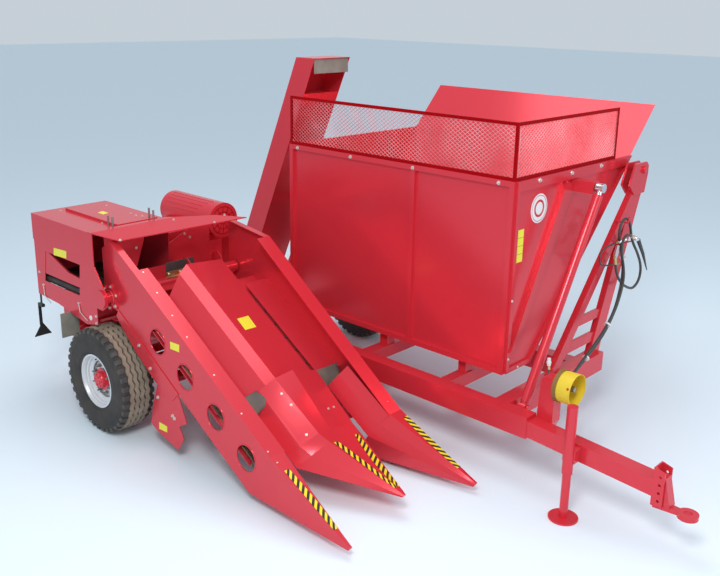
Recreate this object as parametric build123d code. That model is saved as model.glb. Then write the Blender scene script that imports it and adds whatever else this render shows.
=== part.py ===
"""Two-row trailed corn picker with a husking bed and a side-tipping bunker.

All sizes are millimetres. X points forward to the hitch, Y to the left, Z up.
The pieces are drawn with x = 0 at the wheel axle, y = 0 beside the right frame tube
and z = 0 on the ground. At the end they move together, so that the origin lies
on the ground below the middle of the machine.
"""
from build123d import *
import math
import os

FIT = 0.05
SEAT = 0.3
RUNNING = 5.0

# Wheels
TYRE_D = 845.0
TYRE_WIDTH = 290.0
RIM_D = 432.0
RIM_WIDTH = 250.0
HUB_R = 62.0
WHEEL_RIGHT_Y = -1277.0
WHEEL_LEFT_Y = 1650.0
AXLE_Z = TYRE_D / 2
AXLE_SIDE = 100.0
SPINDLE_R = 30.0

# Ladder frame
TUBE_W = 120.0
FRAME_Z = 410.0
FRAME_H = 160.0
FRAME_TOP = FRAME_Z + FRAME_H
RIGHT_TUBE_Y = 180.0
LEFT_TUBE_Y = 1280.0
FRAME_REAR = -900.0
FRAME_FRONT = 2900.0
DRAWBAR_LENGTH = 920.0
DRAWBAR_FRONT = FRAME_FRONT + DRAWBAR_LENGTH
DRAWBAR_W = 110.0
DRAWBAR_H = 120.0
DRAWBAR_DROP = 65.0

# Hitch and jack
HITCH_Y = RIGHT_TUBE_Y + TUBE_W / 2
HITCH_REACH = 222.0
HITCH_EYE_X = DRAWBAR_FRONT + HITCH_REACH
HITCH_EYE_Z = 295.0
HITCH_EYE_R = 65.0
HITCH_BORE_R = 26.0
JACK_X = FRAME_FRONT + 380.0
JACK_Y = 100.0
JACK_TUBE_R = 36.0
JACK_LEG_R = 29.0
JACK_TOP = 816.0
JACK_SLEEVE_LOW = 335.0
JACK_FOOT_R = 100.0

# Bunker
BUNKER_REAR = 226.0
BUNKER_FRONT = 2506.0
BUNKER_RIGHT = 465.0
BUNKER_FLOOR = 684.0
BUNKER_FLAT = 325.0
BUNKER_RIM = 2118.0
BUNKER_FLARE_Y = 2500.0
BUNKER_FLARE_Z = 2500.0
BUNKER_SHEET = 4.0
RAIL = 40.0
END_RAIL = 75.0
RIB_DEPTH = 32.0
MESH_HEIGHT = 405.0
MESH_END_Y = 1880.0

# Tipping
TIP_Y = 2100.0
TIP_Z = 2020.0
TIP_TUBE_R = 30.0
LEG_GAP = 54.0
LEG_DEPTH = 80.0
LEG_TOP_Y = 1996.0
LEG_TOP_Z = 1884.0
INNER_FOOT_Y = 899.0
INNER_LEG_W = 90.0
OUTER_FOOT_Y = 1498.0
OUTER_LEG_W = 140.0
REAR_LEG_LOW = 930.0
HEAD_PLATE = 16.0
RAM_FOOT_Y = 400.0
RAM_FOOT_Z = 520.0
RAM_EYE_Y = 1250.0
RAM_EYE_Z = 2000.0
RAM_R = 36.0
RAM_ROD_R = 22.0
RAM_EYE_R = 34.0
RAM_PIN_R = 18.0
RAM_OFFSET = 225.0
RAM_EYE_W = 60.0

# Picking head
HEAD_RIGHT = -1250.0
HEAD_LEFT = -30.0
HEAD_PIVOT_X = 50.0
HEAD_PIVOT_Z = 1090.0
HEAD_SHEET = 6.0
SLOPE = math.atan(0.6226)
SLOPE_X = 370.0
SLOPE_Z = 1365.0
WALL_DEPTH = 430.0
WALL_FOOT = -416.0
SEAM_RIGHT = 1773.0
SEAM_LEFT = 1860.0
SEAM_MIDDLE = 1740.0
FLANGE_W = 130.0
FLANGE_REAR_W = 55.0
HUMP_U = 1230.0
HEAD_MIDDLE = (HEAD_RIGHT + HEAD_LEFT) / 2
ROW_SPACING = 700.0
SLOT_GAP = 36.0
SLOT_N = -200.0
FLAP_U = 1300.0
ROLL_R = 42.0
AUGER_R = 170.0
AUGER_TUBE_R = 50.0
AUGER_FLIGHT_Y = -620.0
TRUNNION_R = 45.0
DECK_N = -238.0
DECK_END = 1660.0
ROLL_N = -300.0
ROLL_OFFSET = 48.0
ROLL_START = 300.0
ROLL_END = 1480.0
ROLL_NOSE = 1680.0
ROLL_RIB = 8.0
ROLL_RIBS = 6
ROLL_SHAFT_R = 18.0
CHAIN_START = 330.0
CHAIN_END = 1600.0
CHAIN_OFFSET = 80.0
CHAIN_HALF = 36.0
CHAIN_BAND = 12.0
CHAIN_LUG = 26.0
CHAIN_LUGS = 9
CHAIN_TALL = 22.0
BACK_TUBE_U = 90.0
LIFT_TUBE_U = 700.0

# Husking box
BOX_REAR = -955.0
BOX_FRONT = -24.0
BOX_RIGHT = -1335.0
BOX_LEFT = -656.0
BOX_LOW = 900.0
BOX_TOP = 1592.0
BOX_SHEET = 4.0
COVER_DEPTH = 217.0
LID_HINGE_Y = -701.0
LID_RAISE = 10.0
HUSK_ROLLS = 8
HUSK_PITCH = 80.0
HUSK_R = 36.0
HUSK_Z = 1050.0

# Fan drum beside the husking box
DRUM_X = (-870.0, -150.0)
DRUM_Y = 0.0
DRUM_Z = 1450.0
DRUM_R = 155.0

# Power take-off
PTO_X = 3170.0
PTO_Y = 350.0
PTO_Z = 807.0
PTO_R = 17.5
CUP_DEPTH = 140.0
CUP_R = 113.0
DRIVE_Y = 330.0
DRIVE_Z = 512.0
DRIVE_R = 18.0

# Elevator
ELEVATOR_RIGHT = 780.0
ELEVATOR_W = 440.0
ELEVATOR_DEPTH = 235.0
ELEVATOR_LOW_X = -1024.0
ELEVATOR_LOW_Z = 600.0
ELEVATOR_TOP_Z = 2815.0
ELEVATOR_LEAN = 0.439
ELEVATOR_MOUTH_H = 315.0


def block(x, y, z):
    """Box between a low and a high limit on each axis."""
    size = Box(x[1] - x[0], y[1] - y[0], z[1] - z[0])
    return Pos((x[0] + x[1]) / 2, (y[0] + y[1]) / 2, (z[0] + z[1]) / 2) * size


def outline_of(points):
    """Flat shape through points, always counterclockwise so that its solids aren't inside out."""
    pairs = list(zip(points, points[1:] + points[:1]))
    turn = sum(a[0] * b[1] - b[0] * a[1] for a, b in pairs)
    return Polygon(*(points if turn > 0 else points[::-1]), align=None)


def prism_yz(points, x0, x1):
    """Outline in the YZ plane, drawn out from x0 to x1."""
    return extrude(Plane.YZ.offset(x0) * outline_of(points), x1 - x0)


def prism_xz(points, y0, y1):
    """Outline in the XZ plane, drawn out from y0 to y1."""
    return extrude(Plane.XZ.offset(-y1) * outline_of(points), y1 - y0)


def prism_xy(points, z0, z1):
    """Outline in the XY plane, drawn out from z0 to z1."""
    return extrude(Plane.XY.offset(z0) * outline_of(points), z1 - z0)


def rod(start, end, radius):
    """Round bar from one point to another."""
    path = Vector(*end) - Vector(*start)
    place = Plane(origin=start, z_dir=path)
    return place * Cylinder(radius, path.length, align=(Align.CENTER, Align.CENTER, Align.MIN))


def folded(points, thickness):
    """Outline of a sheet folded along points and thickened to the left of its path."""
    path = [Vector(*p) for p in points]
    normals = []
    for a, b in zip(path, path[1:]):
        run = (b - a).normalized()
        normals.append(Vector(-run.Y, run.X))
    inner = []
    for i, point in enumerate(path):
        before = normals[max(i - 1, 0)]
        after = normals[min(i, len(normals) - 1)]
        inner.append(point + (before + after) * (thickness / (1 + before.dot(after))))
    return [(p.X, p.Y) for p in path + inner[::-1]]


def on_slope(u, y, n):
    """Point of the picking head: u down its slope, n square to the slope."""
    x = SLOPE_X + u * math.cos(SLOPE) + n * math.sin(SLOPE)
    z = SLOPE_Z - u * math.sin(SLOPE) + n * math.cos(SLOPE)
    return (x, y, z)


def side_point(u, n):
    """Point of the picking head seen from the side, as X and Z."""
    return on_slope(u, 0, n)[::2]


def slope_plane(u):
    """Plane across the picking head, with Y and the slope's normal as its axes."""
    down = Vector(math.cos(SLOPE), 0, -math.sin(SLOPE))
    return Plane(origin=on_slope(u, 0, 0), x_dir=(0, 1, 0), z_dir=down)


def slope_prism(points, u0, u1):
    """Outline in Y and n, drawn down the slope from u0 to u1."""
    return extrude(slope_plane(u0) * outline_of(points), u1 - u0)


def leg_edges(foot_y, width, z):
    """Right and left edge of a tipping stand's leg at a height."""
    run = Vector(LEG_TOP_Y - foot_y, LEG_TOP_Z - FRAME_TOP).normalized()
    right = foot_y + (z - FRAME_TOP) * run.X / run.Y
    return right, right + width / run.Y


def slant_y(z):
    """Outer face of the bunker's slanted wall at a height."""
    foot = BUNKER_RIGHT + BUNKER_FLAT
    rise = (BUNKER_FLARE_Y - foot) / (BUNKER_FLARE_Z - BUNKER_FLOOR)
    return foot + (z - BUNKER_FLOOR) * rise


def mirrored_x(shape):
    """Copy of a front piece for the rear end of the bunker."""
    middle = (BUNKER_REAR + BUNKER_FRONT) / 2
    return mirror(shape, about=Plane.YZ.offset(middle))


def group(shapes):
    """Several solids of one node."""
    solids = []
    for shape in shapes:
        solids.extend(shape.solids())
    return Compound(children=solids)


def wheel(y, outward):
    """Tyre, rim and hub of one wheel; outward is the side its dish faces."""
    half = TYRE_WIDTH / 2
    outer = TYRE_D / 2
    lip = RIM_D / 2
    web = RIM_WIDTH / 2
    seat = lip - 12
    groove = 11.0
    side = [(seat + SEAT, -web + 6 + SEAT), (lip + 2, -web + 6 + SEAT), (lip + 12, -half + 8),
            (300, -half), (outer - 62, -half + 6), (outer - 22, -half + 26), (outer - 3, -half + 46)]
    profile = list(side)
    for low, high in ((-70, -58), (-29, -17), (17, 29), (58, 70)):
        profile += [(outer, low), (outer - groove, low + 2), (outer - groove, high - 2), (outer, high)]
    profile += [(r, -w) for r, w in reversed(side)]
    inside = [(seat + SEAT, web - 34), (300, half - 20), (outer - 40, half - 36)]
    profile += inside + [(r, -w) for r, w in reversed(inside)]
    tyre = revolve(Plane.XY * Polygon(*profile, align=None), Axis.Y)
    rim_profile = [(seat, -web + 6), (lip, -web + 6), (lip, -web), (lip - 14, -web),
                   (seat - 22, -web + 22), (seat - 30, 18), (90, 52), (HUB_R + SEAT, 52),
                   (HUB_R + SEAT, 60), (92, 60), (seat - 22, 28), (seat - 10, web - 20),
                   (lip - 14, web), (lip, web), (lip, web - 6), (seat, web - 6),
                   (seat, web - 40), (seat - 14, 20), (seat - 14, -40), (seat, -web + 40)]
    rim = revolve(Plane.XY * Polygon(*rim_profile, align=None), Axis.Y)
    bore = SPINDLE_R + FIT
    hub_profile = [(bore, -60), (HUB_R, -60), (HUB_R, 40), (80, 40), (80, 52), (HUB_R, 52),
                   (HUB_R - 2, 70), (40, 92), (0, 92), (0, 80), (bore, 80)]
    hub = revolve(Plane.XY * Polygon(*hub_profile, align=None), Axis.Y)
    turn = Rot(0, 0, 0) if outward > 0 else Rot(0, 0, 180)
    place = Pos(0, y, AXLE_Z)
    return place * turn * tyre, place * turn * rim, place * turn * hub


def running_gear():
    """Axle with its spindles, and both wheels."""
    side = AXLE_SIDE / 2
    z = (AXLE_Z - side, AXLE_Z + side)
    spans = [(WHEEL_RIGHT_Y + 110, RIGHT_TUBE_Y),
             (RIGHT_TUBE_Y + TUBE_W, LEFT_TUBE_Y),
             (LEFT_TUBE_Y + TUBE_W, WHEEL_LEFT_Y - 110)]
    beams = [block((-side, side), span, z) for span in spans]
    right = rod((0, WHEEL_RIGHT_Y + 111, AXLE_Z), (0, WHEEL_RIGHT_Y - 75, AXLE_Z), SPINDLE_R)
    left = rod((0, WHEEL_LEFT_Y - 111, AXLE_Z), (0, WHEEL_LEFT_Y + 75, AXLE_Z), SPINDLE_R)
    beams[0] = beams[0] + right
    beams[2] = beams[2] + left
    nodes = {"axle": group(beams)}
    for name, y, outward in (("right", WHEEL_RIGHT_Y, -1), ("left", WHEEL_LEFT_Y, 1)):
        tyre, rim, hub = wheel(y, outward)
        nodes["tyre_" + name] = tyre
        nodes["rim_" + name] = rim
        nodes["hub_" + name] = hub
    return nodes


def frame():
    """Ladder frame, drawbar, hitch and jack."""
    z = (FRAME_Z, FRAME_TOP)
    right_y = (RIGHT_TUBE_Y, RIGHT_TUBE_Y + TUBE_W)
    left_y = (LEFT_TUBE_Y, LEFT_TUBE_Y + TUBE_W)
    front_beam = BUNKER_FRONT + LEG_GAP
    longerons = [block((FRAME_REAR, FRAME_FRONT), right_y, z),
                 block((FRAME_REAR, front_beam + TUBE_W), left_y, z)]
    rear_beam = BUNKER_REAR - LEG_GAP - TUBE_W
    # low x, high x, low z of each cross beam
    beams = [(FRAME_REAR, FRAME_REAR + 100, FRAME_Z),
             (rear_beam, rear_beam + TUBE_W, FRAME_Z),
             (1250, 1350, FRAME_Z + 60),
             (2060, 2150, FRAME_Z + 60),
             (front_beam, front_beam + TUBE_W, FRAME_Z)]
    cross = [block((a, b), (right_y[1], left_y[0]), (low, FRAME_TOP)) for a, b, low in beams]
    # the front beam reaches under the outer leg of the tipping stand
    outer_foot = leg_edges(OUTER_FOOT_Y, OUTER_LEG_W, FRAME_TOP)[1]
    cross.append(block((front_beam, front_beam + TUBE_W), (left_y[1], outer_foot + 12), z))
    line = rod((FRAME_REAR, DRIVE_Y, DRIVE_Z), (FRAME_FRONT, DRIVE_Y, DRIVE_Z), DRIVE_R + FIT)
    cross[1:] = [beam - line for beam in cross[1:]]
    rests = []
    for a, b, low in beams[2:4]:
        rests.append(block((a + 10, b - 10), (BUNKER_RIGHT + 35, BUNKER_RIGHT + 125),
                           (FRAME_TOP, BUNKER_FLOOR - SEAT)))
    # drawbar falls towards the hitch
    low_rear = FRAME_Z + 15
    bar = prism_xz([(FRAME_FRONT, low_rear), (DRAWBAR_FRONT, low_rear - DRAWBAR_DROP),
                    (DRAWBAR_FRONT, low_rear - DRAWBAR_DROP + DRAWBAR_H),
                    (FRAME_FRONT, low_rear + DRAWBAR_H)],
                   HITCH_Y - DRAWBAR_W / 2, HITCH_Y + DRAWBAR_W / 2)
    return {"longerons": group(longerons), "cross_beams": group(cross),
            "bunker_rests": group(rests), "drawbar": bar}


def hitch():
    """Channel with bolt holes on the drawbar's end, and the drawn eye."""
    back = DRAWBAR_FRONT
    low, high = 300.0, 560.0
    half = DRAWBAR_W / 2
    plate = 10.0
    rear = block((back, back + plate), (HITCH_Y - half, HITCH_Y + half), (low, high))
    cheek = [(back + plate, low), (back + 75, low), (back + 75, high - 20), (back + plate, high)]
    bracket = rear
    for y in (HITCH_Y - half, HITCH_Y + half - plate):
        side = prism_xz(cheek, y, y + plate)
        for i in range(4):
            z = low + 40 + 55 * i
            side -= rod((back + 45, y - 1, z), (back + 45, y + plate + 1, z), 9)
        bracket += side
    tongue_z = (HITCH_EYE_Z - 15, HITCH_EYE_Z + 15)
    neck = prism_xy([(back + plate + SEAT, HITCH_Y - 40), (back + plate + SEAT, HITCH_Y + 40),
                     (HITCH_EYE_X - 60, HITCH_Y + 24), (HITCH_EYE_X, HITCH_Y + 24),
                     (HITCH_EYE_X, HITCH_Y - 24), (HITCH_EYE_X - 60, HITCH_Y - 24)], *tongue_z)
    ring = rod((HITCH_EYE_X, HITCH_Y, tongue_z[0]), (HITCH_EYE_X, HITCH_Y, tongue_z[1]), HITCH_EYE_R)
    bore = rod((HITCH_EYE_X, HITCH_Y, tongue_z[0] - 1), (HITCH_EYE_X, HITCH_Y, tongue_z[1] + 1), HITCH_BORE_R)
    brace = prism_xz([(back + plate + SEAT, tongue_z[1]), (back + 120, tongue_z[1]),
                      (back + 75, high - 60), (back + plate + SEAT, high - 60)],
                     HITCH_Y - 40, HITCH_Y + 40)
    eye = neck + ring + brace - bore
    return {"hitch_bracket": bracket, "hitch_eye": eye}


def jack():
    """Parking jack: a sleeve clamped to the drawbar, and a leg that slides in it."""
    sleeve = rod((JACK_X, JACK_Y, JACK_SLEEVE_LOW), (JACK_X, JACK_Y, JACK_TOP), JACK_TUBE_R)
    sleeve -= rod((JACK_X, JACK_Y, JACK_SLEEVE_LOW - 1), (JACK_X, JACK_Y, JACK_TOP - 8), JACK_LEG_R + FIT)
    clamp = block((JACK_X - 45, JACK_X + 45), (JACK_Y, HITCH_Y - DRAWBAR_W / 2), (415, 505))
    clamp -= rod((JACK_X, JACK_Y, 400), (JACK_X, JACK_Y, 520), JACK_TUBE_R - 2)
    leg = rod((JACK_X, JACK_Y, 12), (JACK_X, JACK_Y, JACK_SLEEVE_LOW + 120), JACK_LEG_R)
    foot = rod((JACK_X, JACK_Y, 0), (JACK_X, JACK_Y, 12), JACK_FOOT_R)
    return {"jack_sleeve": sleeve + clamp, "jack_leg": leg + foot}


def tipping_stands():
    """Front and rear stand that carry the bunker's tipping axis."""
    front = BUNKER_FRONT + LEG_GAP
    x = (front + 30, front + LEG_DEPTH)
    inner, outer, ties, heads = [], [], [], []

    def leg(foot_y, width, low):
        """One leg between a low end and the stand's head."""
        a, b = leg_edges(foot_y, width, low)
        c, d = leg_edges(foot_y, width, LEG_TOP_Z)
        return prism_yz([(a, low), (c, LEG_TOP_Z), (d, LEG_TOP_Z), (b, low)], *x)

    inner_leg = leg(INNER_FOOT_Y, INNER_LEG_W, FRAME_TOP)
    inner.extend([inner_leg, mirrored_x(inner_leg)])
    outer.append(leg(OUTER_FOOT_Y, OUTER_LEG_W, FRAME_TOP))
    # the rear outer leg ends above the wheel
    outer.append(mirrored_x(leg(OUTER_FOOT_Y, OUTER_LEG_W, REAR_LEG_LOW)))
    # low and high edge of each tie plate
    for low, high in ((680.0, 760.0), (870.0, 940.0), (REAR_LEG_LOW, REAR_LEG_LOW + 130.0)):
        middle = (low + high) / 2
        right = leg_edges(INNER_FOOT_Y, INNER_LEG_W, middle)[1] - 40
        left = leg_edges(OUTER_FOOT_Y, OUTER_LEG_W, middle)[0] + 40
        tie = block((x[1] - 40, x[1] - 12), (right, left), (low, high))
        ties.append(mirrored_x(tie) if low == REAR_LEG_LOW else tie)
    # head plates around the tipping axis: y and z from the axis
    outline = [(TIP_Y + y, TIP_Z + z) for y, z in
               ((-224, -105), (-150, 62), (45, 62), (80, 28), (80, -38), (45, -190), (-130, -190))]
    for low in (x[0] - HEAD_PLATE, x[1]):
        plate = prism_yz(outline, low, low + HEAD_PLATE)
        plate -= rod((low - 1, TIP_Y, TIP_Z), (low + HEAD_PLATE + 1, TIP_Y, TIP_Z), TIP_TUBE_R + FIT)
        heads.extend([plate, mirrored_x(plate)])
    # round pins at the feet of the tipping rams
    feet = []
    face = front + TUBE_W
    end = BUNKER_FRONT + RAM_OFFSET + RAM_EYE_W / 2
    pin = rod((face, RAM_FOOT_Y, RAM_FOOT_Z), (end + 20, RAM_FOOT_Y, RAM_FOOT_Z), RAM_PIN_R)
    cap = rod((end + 5, RAM_FOOT_Y, RAM_FOOT_Z), (end + 20, RAM_FOOT_Y, RAM_FOOT_Z), RAM_PIN_R + 8)
    feet.extend([pin + cap, mirrored_x(pin + cap)])
    return {"stand_inner_legs": group(inner), "stand_outer_legs": group(outer),
            "stand_ties": group(ties), "stand_heads": group(heads), "ram_foot_pins": group(feet)}


def tipping_ram():
    """Barrel and rod of the front tipping ram at rest."""
    x = BUNKER_FRONT + RAM_OFFSET
    foot = Vector(x, RAM_FOOT_Y, RAM_FOOT_Z)
    eye = Vector(x, RAM_EYE_Y, RAM_EYE_Z)
    along = (eye - foot).normalized()
    half = RAM_EYE_W / 2
    length = (eye - foot).length
    barrel = rod((foot.X - half, foot.Y, foot.Z), (foot.X + half, foot.Y, foot.Z), RAM_EYE_R)
    end = foot + along * (length - 62)
    barrel += rod(tuple(foot), tuple(foot + along * 60), RAM_EYE_R - 6)
    barrel += rod(tuple(foot + along * 40), tuple(end), RAM_R)
    barrel -= rod(tuple(foot + along * 120), tuple(end + along), RAM_ROD_R + FIT)
    barrel -= rod((foot.X - half - 20, foot.Y, foot.Z), (foot.X + half + 20, foot.Y, foot.Z), RAM_PIN_R + FIT)
    shaft = rod(tuple(foot + along * 160), tuple(eye - along * 20), RAM_ROD_R)
    shaft += rod((eye.X - half, eye.Y, eye.Z), (eye.X + half, eye.Y, eye.Z), RAM_EYE_R)
    return barrel, shaft


def bunker():
    """Tipping bunker with its rails, mesh panels, axis tube and ram brackets."""
    x = (BUNKER_REAR, BUNKER_FRONT)
    path = [(BUNKER_RIGHT, BUNKER_RIM), (BUNKER_RIGHT, BUNKER_FLOOR),
            (BUNKER_RIGHT + BUNKER_FLAT, BUNKER_FLOOR), (BUNKER_FLARE_Y, BUNKER_FLARE_Z)]
    outline = folded(path, BUNKER_SHEET)
    shell = prism_yz(outline, *x)
    inner = outline[len(path):][::-1]
    lean = (BUNKER_FLARE_Y - path[2][0]) / (BUNKER_FLARE_Z - BUNKER_FLOOR)
    rim_y = inner[2][0] + (BUNKER_RIM - inner[2][1]) * lean
    wall = [inner[0], inner[1], inner[2], (rim_y, BUNKER_RIM)]
    ends = [prism_yz(wall, x[0], x[0] + BUNKER_SHEET), prism_yz(wall, x[1] - BUNKER_SHEET, x[1])]

    # rails and posts outside the right wall
    out = BUNKER_RIGHT - 25
    middle = 1580.0
    rails = block(x, (out, BUNKER_RIGHT), (BUNKER_RIM - RAIL, BUNKER_RIM))
    rails += block(x, (out, BUNKER_RIGHT), (BUNKER_FLOOR, BUNKER_FLOOR + RAIL))
    for post in (x[0], middle, x[1] - RAIL):
        rails += block((post, post + RAIL), (out, BUNKER_RIGHT), (BUNKER_FLOOR, BUNKER_RIM))
    return_edge = 18.0
    face = prism_yz(wall, x[1], x[1] + return_edge)
    hole = prism_yz([(BUNKER_RIGHT + RAIL, BUNKER_FLOOR + RAIL),
                     (BUNKER_RIGHT + BUNKER_FLAT - 15, BUNKER_FLOOR + RAIL),
                     (rim_y - RAIL * 2.1, BUNKER_RIM - END_RAIL),
                     (BUNKER_RIGHT + RAIL, BUNKER_RIM - END_RAIL)], x[1] - 1, x[1] + return_edge + 1)
    edge = face - hole
    # slanted rib that widens towards the ram's bracket
    rib_foot = (BUNKER_RIGHT + 25, BUNKER_FLOOR + 166)
    edge += prism_yz([rib_foot, (rib_foot[0] + 55, rib_foot[1]),
                      (RAM_EYE_Y - 35, BUNKER_RIM - 133), (RAM_EYE_Y - 140, BUNKER_RIM - 78)],
                     x[1], x[1] + RIB_DEPTH)
    ends_frame = [edge, mirrored_x(edge)]

    # mesh panels
    panels = []
    bar = 30.0
    depth = 12.0
    columns, rows = 20, 3
    length = x[1] - x[0] - 2 * bar
    height = MESH_HEIGHT - 2 * bar
    right = lattice(length, height, columns, rows, bar, depth)
    right = Plane(origin=(x[0], BUNKER_RIGHT, BUNKER_RIM), x_dir=(1, 0, 0), z_dir=(0, -1, 0)) * right
    span = MESH_END_Y - BUNKER_RIGHT
    front = lattice(span - 2 * bar, height, 12, rows, bar, depth)
    front = Plane(origin=(x[1] - depth, BUNKER_RIGHT, BUNKER_RIM), x_dir=(0, 1, 0), z_dir=(1, 0, 0)) * front

    # axis tube under the slanted wall
    tube = rod((x[0] - LEG_GAP - LEG_DEPTH - HEAD_PLATE - 20, TIP_Y, TIP_Z),
               (x[1] + LEG_GAP + LEG_DEPTH + HEAD_PLATE + 20, TIP_Y, TIP_Z), TIP_TUBE_R)
    lug = [(slant_y(TIP_Z - 90), TIP_Z - 90), (TIP_Y + 20, TIP_Z - 20), (TIP_Y + 20, TIP_Z + 10),
           (slant_y(TIP_Z + 60), TIP_Z + 60)]
    for a in (x[0] + 40, 900, 1750, x[1] - 60):
        tube += prism_yz(lug, a, a + 20)

    # brackets that reach from the end walls to the rams' eyes
    reach = RAM_OFFSET - RAM_EYE_W / 2 - RUNNING
    bracket = prism_yz([(RAM_EYE_Y - 55, RAM_EYE_Z - 45), (RAM_EYE_Y + 55, RAM_EYE_Z - 45),
                        (RAM_EYE_Y + 40, RAM_EYE_Z + 40), (RAM_EYE_Y - 40, RAM_EYE_Z + 40)],
                       x[1], x[1] + reach)
    return {"bunker_shell": shell, "bunker_end_walls": group(ends), "bunker_side_frame": rails,
            "bunker_end_frames": group(ends_frame), "mesh_right": right, "mesh_front": front,
            "tipping_tube": tube, "ram_brackets": group([bracket, mirrored_x(bracket)])}


def lattice(length, height, columns, rows, bar, depth):
    """Panel with diamond openings inside a plain border, lying in the XY plane."""
    panel = Rectangle(length + 2 * bar, height + 2 * bar, align=(Align.MIN, Align.MIN))
    step_x = length / columns
    step_y = height / rows
    strand = 9.0
    holes = []
    for row in range(rows):
        for column in range(columns):
            cx = bar + step_x * (column + 0.5)
            cy = bar + step_y * (row + 0.5)
            half_x = step_x / 2 - strand / 2
            half_y = step_y / 2 - strand / 2
            holes.append(Polygon((cx - half_x, cy), (cx, cy - half_y), (cx + half_x, cy),
                                 (cx, cy + half_y), align=None))
    return extrude(panel - holes, depth)


def head_walls():
    """Side walls of the picking head, with the inward flange on top."""
    rear = [(147, 993), (-30, 1010), (-40, 1460)]
    # rear top, bend, seam, front foot, then the rear edge
    right = [(79, 1536), (SLOPE_X, SLOPE_Z), side_point(SEAM_RIGHT, 0), side_point(SEAM_RIGHT, WALL_FOOT)] + rear
    left = [(0, 1500), (491, 1438), side_point(SEAM_LEFT, 0), side_point(SEAM_LEFT, WALL_FOOT)] + rear
    walls = []
    for outline, y0, inward in ((right, HEAD_RIGHT, 1), (left, HEAD_LEFT, -1)):
        y = sorted((y0, y0 + inward * HEAD_SHEET))
        wall = prism_xz(outline, *y)
        # wide flange down the slope, narrow flange behind the bend
        for points, width in ((outline[2:0:-1], FLANGE_W), (outline[1::-1], FLANGE_REAR_W)):
            edge = sorted((y0 + inward * HEAD_SHEET, y0 + inward * width))
            wall += prism_xz(folded(points, HEAD_SHEET), *edge)
        bore = rod((HEAD_PIVOT_X, y[0] - 1, HEAD_PIVOT_Z), (HEAD_PIVOT_X, y[1] + 1, HEAD_PIVOT_Z), TRUNNION_R + FIT)
        wall -= bore
        if inward > 0:
            for hx, hz in ((646, 889), (969, 711), (1308, 518), (1629, 328)):
                wall -= rod((hx, y[0] - 1, hz), (hx, y[1] + 1, hz), 95)
        walls.append(wall)
    # guard over the wheel and the stalk deflector below it: u and n of their corners
    guard = [(0, -418), (865, -418), (839, -529), (613, -562), (313, -545), (60, -500), (0, -480)]
    plate = [(650, -480), (640, -560), (683, -764), (737, -926), (855, -909), (1075, -833), (1080, -691),
             (992, -650), (1044, -549), (865, -436)]
    low = HEAD_RIGHT - HEAD_SHEET
    walls[0] += prism_xz([side_point(u, n) for u, n in guard], low, HEAD_RIGHT)
    walls[0] += prism_xz([side_point(u, n) for u, n in plate], HEAD_RIGHT, HEAD_RIGHT + HEAD_SHEET)
    lip = folded([side_point(u, n) for u, n in plate[1:5]], HEAD_SHEET)
    walls[0] += prism_xz(lip, HEAD_RIGHT, HEAD_RIGHT + 46)
    return walls


def lofted(sections):
    """Solid through flat sections with straight sides, each a list of points."""
    wires = [Face(Wire.make_polygon([Vector(*p) for p in section])).outer_wire() for section in sections]
    return Solid.make_loft(wires, ruled=True)


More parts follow.
